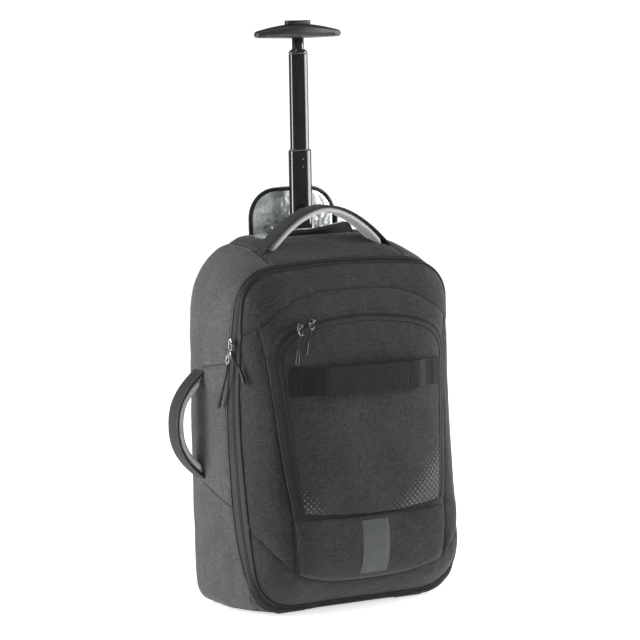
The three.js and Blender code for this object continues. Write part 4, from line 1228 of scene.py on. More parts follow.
@dataclass
class Row:
    """A Geometry Nodes tree that repeats one small shape along given places.

    Each place is a point with a turn attribute. The tree scales the shape to its named sizes in millimetres, varies
    it a little from its seed, makes it real and gives it its material.
    """

    item: Item
    length: float
    width: float
    height: float
    uneven: float = 0.0
    seed: int = 0
    facets: int = 6

    def _tree(self) -> tuple[bpy.types.NodeTree, dict[str, str]]:
        """Makes the tree and says which identifier each named input has.

        Returns:
            The tree, and each input's name to its identifier.
        """
        tree = bpy.data.node_groups.new(f"row_of_{self.item.value}", "GeometryNodeTree")
        sockets = tree.interface
        sockets.new_socket("Geometry", in_out="INPUT", socket_type="NodeSocketGeometry")
        names = {}
        for name, kind in (("Length", "Float"), ("Width", "Float"), ("Height", "Float"), ("Uneven", "Float"),
                           ("Seed", "Int"), ("Material", "Material")):
            names[name] = sockets.new_socket(name, in_out="INPUT", socket_type=f"NodeSocket{kind}").identifier
        sockets.new_socket("Geometry", in_out="OUTPUT", socket_type="NodeSocketGeometry")
        given = add_node(tree, "NodeGroupInput").outputs
        if self.item is Item.STUD:
            kind, sizes = "GeometryNodeMeshCylinder", {"Vertices": self.facets, "Radius": 0.5, "Depth": 1.0}
        else:
            kind, sizes = "GeometryNodeMeshUVSphere", {"Segments": self.facets, "Rings": 4, "Radius": 0.5}
        form = add_node(tree, kind, sizes).outputs["Mesh"]
        size = add_node(tree, "ShaderNodeCombineXYZ", {"X": given["Length"], "Y": given["Width"],
                                                       "Z": given["Height"]}).outputs[0]
        turn = add_node(tree, "GeometryNodeInputNamedAttribute", {"Name": "turn"}, data_type="FLOAT_VECTOR")
        lean = add_node(tree, "FunctionNodeEulerToRotation", {0: turn.outputs["Attribute"]}).outputs[0]
        low = add_node(tree, "ShaderNodeMath", {0: 1.0, 1: given["Uneven"]}, operation="SUBTRACT").outputs[0]
        high = add_node(tree, "ShaderNodeMath", {0: 1.0, 1: given["Uneven"]}, operation="ADD").outputs[0]
        vary = add_node(tree, "FunctionNodeRandomValue", {2: low, 3: high, "Seed": given["Seed"]},
                        data_type="FLOAT").outputs[1]
        scale = add_node(tree, "ShaderNodeVectorMath", {0: size, "Scale": vary}, operation="SCALE").outputs[0]
        laid = add_node(tree, "GeometryNodeInstanceOnPoints", {"Points": given["Geometry"], "Instance": form,
                                                               "Rotation": lean, "Scale": scale}).outputs[0]
        real = add_node(tree, "GeometryNodeRealizeInstances", {0: laid}).outputs[0]
        shaded = add_node(tree, "GeometryNodeSetShadeSmooth", {0: real}).outputs[0]
        done = add_node(tree, "GeometryNodeSetMaterial", {"Geometry": shaded, "Material": given["Material"]})
        add_node(tree, "NodeGroupOutput", {0: done.outputs[0]})
        return tree, names

    def lay(self, name: str, points: np.ndarray, along: np.ndarray, up: np.ndarray, surface: Surface,
            body: str = "bag") -> Thing:
        """Lays the row.

        Args:
            name: The piece's name.
            points: Where each copy goes.
            along: The direction of each copy's length.
            up: The direction of each copy's height.
            surface: Its material.
            body: The body that it rides on.

        Returns:
            The piece, a plain mesh.
        """
        turns = []
        for ahead, rise in zip(along, up):
            side = np.cross(rise, ahead)
            basis = Matrix(np.stack([unit(ahead), unit(side), unit(np.cross(ahead, side))], 1).tolist())
            turns += list(basis.to_euler())
        mesh = bpy.data.meshes.new(name + "_places")
        mesh.from_pydata(np.asarray(points).tolist(), [], [])
        mesh.attributes.new("turn", "FLOAT_VECTOR", "POINT").data.foreach_set("vector", turns)
        places = linked(mesh.name, mesh)
        tree, names = self._tree()
        modifier = places.modifiers.new("row", "NODES")
        modifier.node_group = tree
        sizes = {"Length": self.length * MM, "Width": self.width * MM, "Height": self.height * MM,
                 "Uneven": self.uneven, "Seed": self.seed, "Material": surface.material}
        for key, value in sizes.items():
            modifier[names[key]] = value
        made = bpy.data.meshes.new_from_object(places.evaluated_get(bpy.context.evaluated_depsgraph_get()))
        bpy.data.objects.remove(places)
        made.name = name
        thing = linked(name, made)
        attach(thing, body)
        LOG.info("%s: %d copies", name, len(points))
        return thing


def placed(name: str, points: np.ndarray, faces: np.ndarray | list, surface: Surface, body: str = "bag",
           node: str | None = None, slot: str | None = None) -> Thing:
    """Makes a piece with its faces outwards, rides it on a body and lets it stand for a node.

    Args:
        name: The piece's name.
        points: Its points in metres.
        faces: Its faces.
        surface: Its material.
        body: The body that it rides on.
        node: The CAD node that it stands for.
        slot: A material slot's name; not used.

    Returns:
        The piece.
    """
    thing = outwards(new_object(name, points, faces, surface))
    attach(thing, body)
    if node:
        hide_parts(node)
    LOG.info("%s: %d faces", name, len(thing.data.polygons))
    return thing


def joined(parts: list[Shape]) -> Shape:
    """Several meshes as one.

    Args:
        parts: Each mesh's points and faces.

    Returns:
        Points and faces.
    """
    points, faces, start = [], [], 0
    for some, lists in parts:
        points.append(some)
        faces += [[start + i for i in face] for face in lists]
        start += len(some)
    return np.vstack(points), faces


def rounded(node: str, surface: Surface, body: str, bevel: float, steps: int = 2, name: str = "") -> Thing:
    """Makes a copy of a rigid node with its edges rounded, which stands for it.

    Args:
        node: The CAD node.
        surface: Its material.
        body: The body that it rides on.
        bevel: The rounding's width in millimetres.
        steps: How many faces the rounding has.
        name: The piece's name.

    Returns:
        The piece.
    """
    points, faces = merged(node)
    thing = new_object(name or node + "_moulded", points, faces, surface)
    mesh = bmesh.new()
    mesh.from_mesh(thing.data)
    bmesh.ops.dissolve_limit(mesh, angle_limit=math.radians(1.0), verts=mesh.verts, edges=mesh.edges)
    mesh.to_mesh(thing.data)
    mesh.free()
    edge = thing.modifiers.new("edges", "BEVEL")
    edge.width, edge.segments, edge.limit_method = bevel * MM, steps, "ANGLE"
    edge.angle_limit, edge.harden_normals = math.radians(38), True
    made = bpy.data.meshes.new_from_object(thing.evaluated_get(bpy.context.evaluated_depsgraph_get()))
    thing.modifiers.clear()
    thing.data = made
    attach(thing, body)
    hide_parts(node)
    LOG.info("%s: %d faces", thing.name, len(made.polygons))
    return thing


# Sewing and zips


@dataclass
class Sewing:
    """Stitch rows and piping on the body's seams."""

    body: BagBody
    finishes: Finishes
    stitch: float = 2.9
    pitch: float = 4.2
    thickness: float = 0.75
    handle_seams: tuple = (((-8, 357), (56, 346)), ((-15, 155), (56, 181)))
    seam_x: float = -180.0
    stitch_drop: float = 3.4

    def rows(self, name: str, lines: list[Run], surface: Surface) -> None:
        """Lays stitches along lines of points and normals.

        Args:
            name: The piece's name.
            lines: The lines.
            surface: The thread.
        """
        points, along, up = [], [], []
        for line, normals in lines:
            points.append(line + normals * 0.12 * MM)
            along.append(tangents(line))
            up.append(normals)
        row = Row(Item.STITCH, self.stitch, self.thickness, self.thickness * 0.7, 0.12, 3)
        row.lay(name, np.vstack(points), np.vstack(along), np.vstack(up), surface)

    def piping(self, name: str, seams: list[SeamLine], radius: float, lift: float, surface: Surface,
               out: float = 0.0) -> None:
        """Lays round piping along seams.

        Args:
            name: The piece's name.
            seams: The seams.
            radius: Of the piping, in millimetres.
            lift: How far its middle stands off the seam.
            surface: Its material.
            out: How far it lies outside the panel's edge.
        """
        parts = []
        for seam in seams:
            line = seam.points + (seam.normals * lift - seam.inward * out) * MM
            line = eased(spaced(line, 3.0 * MM, seam.closed), 3, seam.closed)
            _, normals = seam.panel.drop(line)
            parts.append(swept(line, normals, round_outline(radius * MM, 8), seam.closed))
        placed(name, *joined(parts), surface)

    def build(self) -> None:
        """Sews every seam that shows."""
        panels, looks = self.body.panels, self.finishes
        left, right, top = panels["side_panel_left"], panels["side_panel_right"], panels["top_panel"]
        back, base, band = panels["back_panel"], panels["base_panel"], panels["main_zip_band"]
        fronts = [panels[n] for n in ("front_yoke", "front_side_left", "front_side_right", "front_lower")]
        yoke, front_left, front_right, lower = fronts
        middle, pocket_band = panels["front_middle"], panels["pocket_zip_band"]
        pocket, low_pocket = panels["pocket_panel"], panels["lower_pocket"]
        cross = [yoke.seam([band], True), lower.seam([band], True), front_left.seam([middle]),
                 front_right.seam([middle])]
        for name, seams, radius, lift, out in (
            ("rim_piping", [p.seam([band]) for p in fronts], 2.1, 0.1, 0.6),
            ("tub_piping", [p.seam([band]) for p in (left, right, top)], 1.2, -0.3, 0.2),
            ("front_seam_piping", cross, 1.2, -0.35, 0.0),
            ("back_piping", [p.seam([back]) for p in (left, right, top)], 1.8, 0.3, 0.0),
            ("base_piping", [p.seam([base]) for p in (left, right)], 1.1, -0.1, 0.0),
            ("pocket_piping", [pocket.seam([pocket_band])], 1.0, -0.3, 0.0),
        ):
            self.piping(name, seams, radius, lift, looks.binding, out)
        double = [panel.seam(near).inset(inset, self.pitch)
                  for panel, near in ((left, [top]), (right, [top]), (top, [left]), (top, [right]))
                  for inset in (2.2, 5.0)]
        self.rows("top_seam_stitches", double, looks.thread)
        rim = [p.seam([band]).inset(4.0, self.pitch) for p in (*fronts, left, right, top)]
        self.rows("rim_stitches", rim, looks.dark)
        inner = [front_left.seam([middle]), front_right.seam([middle]), yoke.seam([band], True),
                 lower.seam([band], True), pocket.seam([pocket_band]), low_pocket.seam([pocket], True)]
        self.rows("front_stitches", [seam.inset(3.0, self.pitch) for seam in inner], looks.dark)
        self._handle_seams(left)
        self.rows("back_stitches", [back.seam([left, right, top, base]).inset(6.0, self.pitch)], looks.dark)

    def _handle_seams(self, panel: Panel) -> None:
        """The two short seams that carry the side handle's ends to the zip band, and the bar tack at the upper one.

        Args:
            panel: The side panel.
        """
        parts, rows = [], []
        for ends in self.handle_seams:
            line = spaced(np.array([at(self.seam_x, y, z) for y, z in ends]), 3.0 * MM)
            line, normals = panel.drop(line)
            parts.append(swept(line - normals * 0.35 * MM, normals, round_outline(0.95 * MM, 8)))
            below = np.array([at(self.seam_x, y, z - self.stitch_drop) for y, z in ends])
            rows.append(panel.drop(spaced(below, self.pitch * MM)))
        placed("handle_seam_piping", *joined(parts), self.finishes.binding)
        self.rows("handle_seam_stitches", rows, self.finishes.dark)
        tack = spaced(np.array([at(self.seam_x, 34, 355), at(self.seam_x, 48, 353)]), 1.3 * MM)
        tack, normals = panel.drop(tack)
        upright = np.tile((0.0, 0.2, 1.0), (len(tack), 1))
        row = Row(Item.STITCH, 3.6, 1.0, 0.8, 0.1, 5)
        row.lay("handle_bar_tack", tack + normals * 0.15 * MM, unit(upright), normals, self.finishes.thread)


@dataclass
class ZipCoil:
    """The coil down the middle of a zip band: two rows of nylon turns that mesh over a cord."""

    name: str
    band: Panel
    finishes: Finishes
    pitch: float = 1.7
    reach: float = 3.6

    def middle(self) -> tuple[np.ndarray, np.ndarray, bool]:
        """The band's middle line, its normals and whether it is a loop.

        Returns:
            Points, normals and whether it is a loop.
        """
        rings = self.band.loops()
        if len(rings) > 1:
            first, second = (self.band.points[ring] for ring in rings[:2])
            closed = True
        else:
            ring = rings[0]
            line = self.band.points[ring]
            low = np.flatnonzero(line[:, 2] < line[:, 2].min() + 9 * MM)
            left = low[line[low, 0] < line[:, 0].mean()]
            right = low[line[low, 0] >= line[:, 0].mean()]
            start, stop = sorted((int(np.median(left)), int(np.median(right))))
            first, second, closed = line[start:stop], np.vstack([line[stop:], line[:start]]), False
        other = tree_of(second)
        line = spaced(first, 2 * MM, closed)
        middle = np.array([(p + np.array(other.find(p)[0])) / 2 for p in line])
        middle = spaced(eased(middle, 12, closed), self.pitch * MM, closed)
        points, normals = self.band.drop(middle)
        return points, normals, closed

    def build(self) -> None:
        """Lays the coil and the corded edges of the tape."""
        line, normals, closed = self.middle()
        ahead = tangents(line, closed)
        side = np.cross(ahead, normals)
        tooth = Row(Item.STITCH, self.reach, 1.3, 1.1, 0.0, 0, 6)
        coil = tooth.lay(f"{self.name}_coil", line + normals * 0.25 * MM, side, normals, self.finishes.nylon)
        parts = []
        for way in (-1, 1):
            edge = line + side * way * (self.reach / 2 + 0.7) * MM
            edge, up = self.band.drop(edge)
            parts.append(swept(edge + up * 0.1 * MM, up, round_outline(0.55 * MM, 6, 0.8), closed))
        placed(f"{self.name}_tape_edges", *joined(parts), self.finishes.tape)


# Handles, straps and pulls


@dataclass
class CarryHandle:
    """A carry handle: flat strap outside, padded mesh grip inside, ends sewn into a seam."""

    node: str
    finishes: Finishes
    half_span: float
    rise: float
    arch: float
    middle: tuple[float, float, float]
    upright: bool
    width: float = 30.0
    strap: float = 3.0
    pad: float = 7.5
    flange: float = 11.0

    def _arch(self, off: float, span: float, extra: float) -> Run:
        """The arch's line and normals, off millimetres outside the strap's outer face.

        Args:
            off: How far outside, in millimetres.
            span: Its width as a share of the handle's.
            extra: How far its feet reach on into the seam.

        Returns:
            Points and normals.
        """
        reach = np.linspace(-1, 1, 73)
        u = self.half_span * span * reach
        v = self.rise * (1 - np.abs(reach) ** self.arch)
        slope = -self.rise * self.arch * np.abs(reach) ** (self.arch - 1) * np.sign(reach) / (self.half_span * span)
        size = np.hypot(1, slope)
        u, v = u - slope / size * off, v + off / size
        if extra:
            tip = np.linspace(extra, 2, 4)
            u = np.concatenate([u[0] - tip, u, u[-1] + tip[::-1]])
            v = np.concatenate([np.full(4, v[0]) - 2.0, v, np.full(4, v[-1]) - 2.0])
        x, y, z = self.middle
        zero = np.zeros_like(u)
        flat = np.stack([u, zero, v], 1) if self.upright else np.stack([-v, zero, u], 1)
        line = np.array([at(x + a, y + b, z + c) for a, b, c in flat])
        line = eased(line, 4)
        ahead = tangents(line)
        normals = unit(np.cross(ahead, np.array((0, 1, 0)))) * (-1 if self.upright else 1)
        return line, normals

    def _section(self, width: float, thick: float, crown: float) -> list[tuple[float, float]]:
        """A flat section with rounded edges, crowned on its inner side.

        Args:
            width: In millimetres.
            thick: In millimetres.
            crown: How far its inner side bulges.

        Returns:
            The section, in metres.
        """
        half, edge = width / 2, thick / 2
        points = []
        for way in (1, -1):
            for k in range(7):
                a = math.pi * (k / 6 - way / 2)
                points.append((way * (half - edge) + edge * math.cos(a), edge * math.sin(a)))
        low = [(x, -edge - crown * (1 - (x / half) ** 2)) for x in np.linspace(-half * 0.7, half * 0.7, 5)]
        return [(x * MM, z * MM) for x, z in points + (low if crown else [])]

    def build(self) -> None:
        """Makes the strap, its padding and their stitching."""
        line, normals = self._arch(-self.strap / 2, 1.0, self.flange)
        points, faces = swept(line, normals, self._section(self.width, self.strap, 0))
        placed(f"{self.node}_webbing", points, faces, self.finishes.dark, "bag", f"{self.node}_strap", "dark_fabric")
        inner, up = self._arch(-self.strap - self.pad / 2 - 0.2, 0.965, 0)
        section = self._section(self.width - 2, self.pad, 2.2)
        points, faces = swept(inner, up, section)
        count, total = len(section), len(inner)
        taper = np.clip(np.minimum(np.arange(total), np.arange(total)[::-1]) / 5, 0.35, 1) ** 0.7
        shift = np.array([noise.noise(Vector(p / MM / 14)) for p in points]) * 0.5 * MM
        centre = np.tile(inner + up * self.pad / 2 * MM, (count, 1))
        points = centre + (points - centre) * np.tile(taper, count)[:, None]
        points += np.tile(up, (count, 1)) * shift[:, None]
        pad = placed(f"{self.node}_padding", points, faces, self.finishes.mesh, "bag", f"{self.node}_pad",
                     "mesh_padding")
        rows = []
        across = np.array((0, 1, 0)) * (self.width / 2 - 3) * MM
        top = spaced(line + normals * (self.strap / 2 + 0.02) * MM, 4.2 * MM)
        lean = unit(np.cross(tangents(top), np.array((0, 1, 0)))) * (-1 if self.upright else 1)
        for way in (-1, 1):
            rows.append((top + across * way, lean))
        points = np.vstack([p for p, _ in rows])
        row = Row(Item.STITCH, 2.9, 0.8, 0.55, 0.1, 5)
        along = np.vstack([tangents(p) for p, _ in rows])
        row.lay(f"{self.node}_stitches", points, along, np.vstack([n for _, n in rows]),
                        self.finishes.thread)


@dataclass
class ZipPull:
    """A zip's slider with a cord and a moulded tip hanging from it."""

    node: str
    finishes: Finishes
    path: np.ndarray
    normal: tuple[float, float, float]
    metal: Surface
    cloths: list[Panel]
    length: float = 11.0
    width: float = 8.0
    thickness: float = 3.4
    cord_radius: float = 1.5
    tip_radius: float = 3.2
    tip_share: float = 0.42
    arch: tuple = ((-3.6, 0.9), (-3.4, 2.6), (-1.6, 3.6), (1.2, 3.6), (3.2, 2.7), (3.6, 0.9))
    loop: tuple[float, float] = (6.0, 3.2)  # the tab loop's half length and half width

    def _block(self, size: tuple[float, float, float], bevel: float, centre: np.ndarray, basis: np.ndarray,
               taper: float = 1.0) -> Shape:
        """A rounded block, length, width and height along the basis, narrower at its far end by the taper.

        Args:
            size: Its length, width and height in millimetres.
            bevel: The rounding of its edges.
            centre: Where it is, in metres.
            basis: Its three directions.
            taper: The far end's width as a share of the near end's.

        Returns:
            Points and faces.
        """
        mesh = bmesh.new()
        bmesh.ops.create_cube(mesh, size=1.0)
        for vert in mesh.verts:
            narrow = taper if vert.co.x > 0 else 1.0
            vert.co = Vector((vert.co.x * size[0], vert.co.y * size[1] * narrow, vert.co.z * size[2]))
        bmesh.ops.bevel(mesh, geom=mesh.edges[:], offset=bevel, segments=3, affect="EDGES", profile=0.5)
        points = np.array([v.co for v in mesh.verts]) * MM @ basis + centre
        faces = [[v.index for v in f.verts] for f in mesh.faces]
        mesh.free()
        return points, faces

    def build(self) -> None:
        """Makes the slider, the cord and the tip."""
        path = self.path
        up = unit(np.array(self.normal, float))
        ahead = unit(path[1] - path[0])
        ahead = unit(ahead - up * (ahead @ up))
        basis = np.stack([ahead, np.cross(up, ahead), up])
        start = path[0] + up * 0.6 * MM
        body = [self._block((self.length, self.width, self.thickness * 0.45), 0.6, start + up * z * MM, basis, 0.72)
                for z in (-self.thickness * 0.25, self.thickness * 0.35)]
        slider = placed(f"{self.node}_slider", *joined(body), self.metal)
        arch = np.array([start + ahead * u * MM + up * v * MM for u, v in self.arch])
        arch = eased(spaced(arch, 0.6 * MM), 3)
        bridge = swept(arch, np.tile(basis[1], (len(arch), 1)), round_outline(1.0 * MM, 8))
        turn = np.linspace(0, 2 * math.pi, 25)[:-1]
        hang = unit(path[1] - path[0])
        flat = unit(np.cross(hang, up))
        reach, half = self.loop
        ring = np.array([start + up * 2.6 * MM + hang * (reach + 0.4 - reach * math.cos(a)) * MM
                         + flat * half * MM * math.sin(a) for a in turn])
        loop = swept(ring, np.tile(np.cross(hang, flat), (len(ring), 1)), round_outline(0.95 * MM, 8), True)
        tab = placed(f"{self.node}_tab", *joined([bridge, loop]), self.metal)
        smooth = self._clear(self._curve(path))
        along = np.concatenate([[0], np.cumsum(np.linalg.norm(np.diff(smooth, axis=0), axis=1))])
        cut = int(np.searchsorted(along, along[-1] * (1 - self.tip_share)))
        line = spaced(smooth[: cut + 2], 1.4 * MM)
        lift = np.linspace(1, 0, len(line))[:, None] * up * 2.0 * MM
        line = line + lift
        normals = np.tile(up, (len(line), 1))
        cord = placed(f"{self.node}_cord", *swept(line, normals, round_outline(self.cord_radius * MM, 10)),
                      self.finishes.binding, "bag", self.node, "pull_plastic")
        end = spaced(smooth[cut:], 1.2 * MM)
        share = np.linspace(0, 1, len(end))
        swell = np.clip(0.62 + 0.5 * share, 0, 1) * np.clip((1.03 - share) * 9, 0.45, 1)
        count = 12
        points, faces = swept(end, np.tile(up, (len(end), 1)), round_outline(self.tip_radius * MM, count, 0.95))
        middle = np.tile(end, (count, 1))
        points = middle + (points - middle) * np.tile(swell, count)[:, None]
        tip = placed(f"{self.node}_tip", points, faces, self.finishes.nylon)

    def _clear(self, line: np.ndarray) -> np.ndarray:
        """Lifts the line off the cloth, by the cord's radius at first and by the tip's radius further on.

        Args:
            line: The cord's and the tip's middle line.

        Returns:
            The lifted line.
        """
        steps = (0, self.cord_radius + 0.3, self.tip_radius, self.tip_radius)
        gaps = np.interp(np.linspace(0, 1, len(line)), (0, 0.4, 0.6, 1), steps)
        found = [panel.drop(line) for panel in self.cloths]
        for i, gap in enumerate(gaps):
            near, normal = min(((q[i], n[i]) for q, n in found), key=lambda pair: np.linalg.norm(line[i] - pair[0]))
            line[i] += normal * max(0.0, gap * MM - (line[i] - near) @ normal)
        return eased(line, 8)

    def _curve(self, path: np.ndarray) -> np.ndarray:
        """A smooth line through the path's points.

        Args:
            path: The points.

        Returns:
            The line.
        """
        line = []
        ends = np.vstack([2 * path[0] - path[1], path, 2 * path[-1] - path[-2]])
        for i in range(1, len(ends) - 2):
            p0, p1, p2, p3 = ends[i - 1 : i + 3]
            for t in np.linspace(0, 1, 16, endpoint=i == len(ends) - 3):
                line.append(0.5 * (2 * p1 + (p2 - p0) * t + (2 * p0 - 5 * p1 + 4 * p2 - p3) * t * t
                                   + (3 * p1 - p0 - 3 * p2 + p3) * t ** 3))
        return np.array(line)


@dataclass
class FlatTrims:
    """What is sewn or welded flat on the front: the webbing strap and the film patch."""

    finishes: Finishes

    def build(self) -> None:
        """Makes the strap with its bar tacks and the patch."""
        strap = Panel("pocket_strap", 4.0, 2.0, 42, at(0, 20, 334))
        strap.puff(0.2, 2, 0.0, 0.15, 31, 0.7)
        strap.build(self.finishes.webbing)
        patch = Panel("pocket_patch", 5.0, 2.5, 42, at(0, 20, 100))
        patch.puff(0.15, 2, 0.1, 0.0, 32, 0.15)
        patch.build(self.finishes.film)
        points, along = [], []
        for x in (-121, -93, 97, 120):
            for z in np.arange(319, 350.5, 1.3):
                for side in (-1.2, 1.2):
                    points.append(at(x + side, -160, z))
                    along.append((1.0, 0.0, 0.25 * side))
        points, normals = strap.drop(np.array(points))
        tack = Row(Item.STITCH, 3.0, 0.9, 0.7, 0.1, 9)
        tack.lay("pocket_strap_tacks", points + normals * 0.1 * MM, unit(np.array(along)), normals,
                         self.finishes.binding)


def hang_pulls(body: BagBody, finishes: Finishes) -> None:
    """Hangs the two pulls of each zip, on the routes that their solids have.

    Args:
        body: The sewn body.
        finishes: The materials.
    """
    side = -177.6
    tub = [body.panels[name] for name in ("main_zip_band", "side_panel_left", "front_side_left", "front_yoke")]
    for name, route, normal in (
        ("main_zip_pull_front", ((0, -30, 389), (4, -41, 371), (-3, -49, 351), (-6, -55, 332)), (-1, -0.25, 0)),
        ("main_zip_pull_back", ((0, -26, 371), (4, -22, 342), (6, -9, 316), (6, 1, 294)), (-1, -0.15, 0)),
    ):
        path = np.array([at(side - out, y, z) for out, y, z in route])
        ZipPull(name, finishes, path, normal, finishes.nickel, tub).build()
    band, pocket = body.panels["pocket_zip_band"], body.panels["pocket_panel"]
    for name, route in (
        ("pocket_zip_pull_left", ((-102, 409.2, 1.0), (-108, 393.8, 5.5), (-113, 376.8, 6.5), (-117, 358.8, 6.5))),
        ("pocket_zip_pull_right", ((-83, 415, 1.5), (-91, 403.9, 5.0), (-98, 390.1, 7.5), (-104, 371, 7.5))),
    ):
        path = []
        for k, (x, z, out) in enumerate(route):
            point, normal = (pocket if k else band).drop(np.array([at(x, -150, z)]))
            path.append(np.array((at(x, 0, 0)[0], point[0][1] - out * MM, z * MM)))
        ZipPull(name, finishes, np.array(path), (0, -1, 0.1), finishes.gunmetal, [band, pocket]).build()


# The trolley


@dataclass
class Tube:
    """One stage of the pole: a flattened tube with a rounded mouth."""

    node: str
    width: float
    depth: float
    bottom: float
    top: float
    wall: float = 1.4


@dataclass
class Trolley:
    """The telescopic pole, its grip and the pocket that it sinks into."""

    finishes: Finishes
    tubes: tuple[Tube, ...] = (Tube("pole_upper_tube", 28.5, 16.6, 496, 785),
                               Tube("pole_lower_tube", 34.0, 21.0, 332, 646),
                               Tube("pole_base_tube", 39.5, 25.4, 12, 452))
    grip_half: float = 70.0
    grip_bottom: float = 808.0
    grip_height: float = 21.5
    grip_depth: float = 32.0
    end_height: float = 9.0
    end_depth: float = 15.0
    rib_pitch: float = 2.8
    fold: float = 1.5
    fine_fold: float = 0.6
    ribs_half: float = 56.0
    rivet_reach: float = 10.42  # just inside the lower tube's front face, so that the heads clear the collar
    neck: tuple = ((785.3, 28.5, 16.6), (787.4, 28.5, 16.6), (788.6, 27.6, 15.9), (790.4, 23.4, 14.4),
                   (791.6, 18.6, 13.4), (793, 17, 13), (814.2, 17, 13))
    button: tuple = ((-6, 39.4, 18.4), (2.6, 40, 19), (3.4, 39.4, 18.4), (3.7, 37.6, 16.6))
    ring: tuple = ((0.05, 33.0, 20.0), (1.2, 33.0, 20.0), (1.6, 32.2, 19.2), (1.6, 29.4, 17.5), (0.05, 29.4, 17.5))
    fullness: float = 0.8
    flatness: float = 0.6
    squareness: float = 2.7

    def _oval(self, width: float, depth: float, count: int = 56) -> list[tuple[float, float]]:
        """A flattened outline with full corners about the pole's axis.

        Args:
            width: In millimetres.
            depth: In millimetres.
            count: How many points.

        Returns:
            Places across and back.
        """
        share, points = 2 / self.squareness, []
        for a in np.linspace(0, 2 * math.pi, count, endpoint=False):
            c, s = (math.copysign(abs(v) ** share, v) for v in (math.cos(a), math.sin(a)))
            points.append((width / 2 * c, depth / 2 * s))
        return points

    def _rings(self, levels: tuple | list, closed: bool = False) -> Shape:
        """A skin through flattened rings.

        Args:
            levels: Each ring's height, width and depth in millimetres.
            closed: Whether the last ring joins the first, as on a hollow tube.

        Returns:
            Points and faces.
        """
        rings = [[at(x, POLE_BACK + y, z) for x, y in self._oval(w, d)] for z, w, d in levels]
        return np.vstack(rings), between(len(rings), len(rings[0]), closed)

    def _tube(self, tube: Tube, body: str) -> None:
        """One hollow stage with rounded rims.

        Args:
            tube: The stage.
            body: The body that it rides on.
        """
        w, d, wall, low, top = tube.width, tube.depth, tube.wall, tube.bottom, tube.top
        skin = [(low, w - 0.6, d - 0.6), (low + 0.5, w, d), (top - 0.7, w, d), (top - 0.2, w - 0.3, d - 0.3),
                (top, w - 1.0, d - 1.0), (top, w - 2 * wall, d - 2 * wall), (low, w - 2 * wall, d - 2 * wall)]
        placed(f"{tube.node}_drawn", *self._rings(skin, True), self.finishes.pole, body, tube.node, "pole_metal")

    def _grip(self) -> None:
        """The grip: a lens in the front view with ribs under the fingers, and the button in its top."""
        rings, count = [], 40
        for t in np.sin(np.linspace(-math.pi / 2, math.pi / 2, 65)):
            full = 1 - abs(t) ** 1.6
            shoulder = 0.4 + 0.6 * math.sqrt(max(0.0, 1 - max(0.0, (abs(t) - 0.93) / 0.07) ** 2))
            height = (self.end_height + (self.grip_height - self.end_height) * full) * shoulder
            depth = (self.end_depth + (self.grip_depth - self.end_depth) * full) * shoulder
            middle = self.grip_bottom + self.end_height * 0.62 + (self.grip_height - self.end_height) * 0.36 * full
            ring = []
            for i in range(count):
                a = 2 * math.pi * i / count
                c = math.copysign(abs(math.cos(a)) ** self.fullness, math.cos(a))
                s = math.copysign(abs(math.sin(a)) ** self.flatness, math.sin(a))
                ring.append(at(self.grip_half * t, POLE_BACK + depth / 2 * c, middle + height / 2 * s))
            rings.append(ring)
        grip = placed("grip_moulded", np.vstack(rings), between(len(rings), count, False), self.finishes.satin,
                      "pole_upper", "grip", "grip_plastic")
        tree = BVHTree.FromObject(grip, bpy.context.evaluated_depsgraph_get())
        places, up = [], []
        for x in np.arange(-self.ribs_half, self.ribs_half + 0.1, self.rib_pitch):
            y = POLE_BACK - 19 + 7 * (x / self.ribs_half) ** 2
            near, normal, _, _ = tree.find_nearest(Vector(at(x, y, self.grip_bottom + 3.4)))
            places.append(tuple(near))
            up.append(tuple(normal))
        up = np.array(up)
        # The ribs take the pale grey hub plastic, a painted highlight along their lit edges.
        ribs = Row(Item.RIB, 6.0, 1.5, 2.4, 0.0, 0, 8)
        along = unit(np.cross(up, np.array((1, 0, 0))))
        ribs.lay("grip_finger_ribs", np.array(places), along, up, self.finishes.hub, "pole_upper")
        top = self.grip_bottom + self.grip_height
        levels = [(top + z, w, d) for z, w, d in self.button]
        placed("grip_button_moulded", *self._rings(levels), self.finishes.nylon, "grip_release", "grip_button",
               "grip_plastic")
        placed("grip_neck_moulded", *self._rings(self.neck), self.finishes.pole, "pole_upper", "grip_neck",
               "grip_plastic")

    def _details(self) -> None:
        """The guide ring at the lower tube's mouth and the tube's two rivets."""
        top = self.tubes[1].top
        levels = [(top + z, w, d) for z, w, d in self.ring]
        placed("pole_guide_ring", *self._rings(levels, True), self.finishes.hub, "pole_lower", None, "pole_metal")
        places = [at(-1.0, POLE_BACK - self.rivet_reach, top - z) for z in (12, 23)]
        stud = Row(Item.STUD, 3.0, 3.0, 0.26, 0.0, 0, 20)
        stud.lay("pole_rivets", np.array(places), np.tile((1.0, 0, 0), (2, 1)), np.tile((0, -1.0, 0), (2, 1)),
                         self.finishes.hub, "pole_lower")

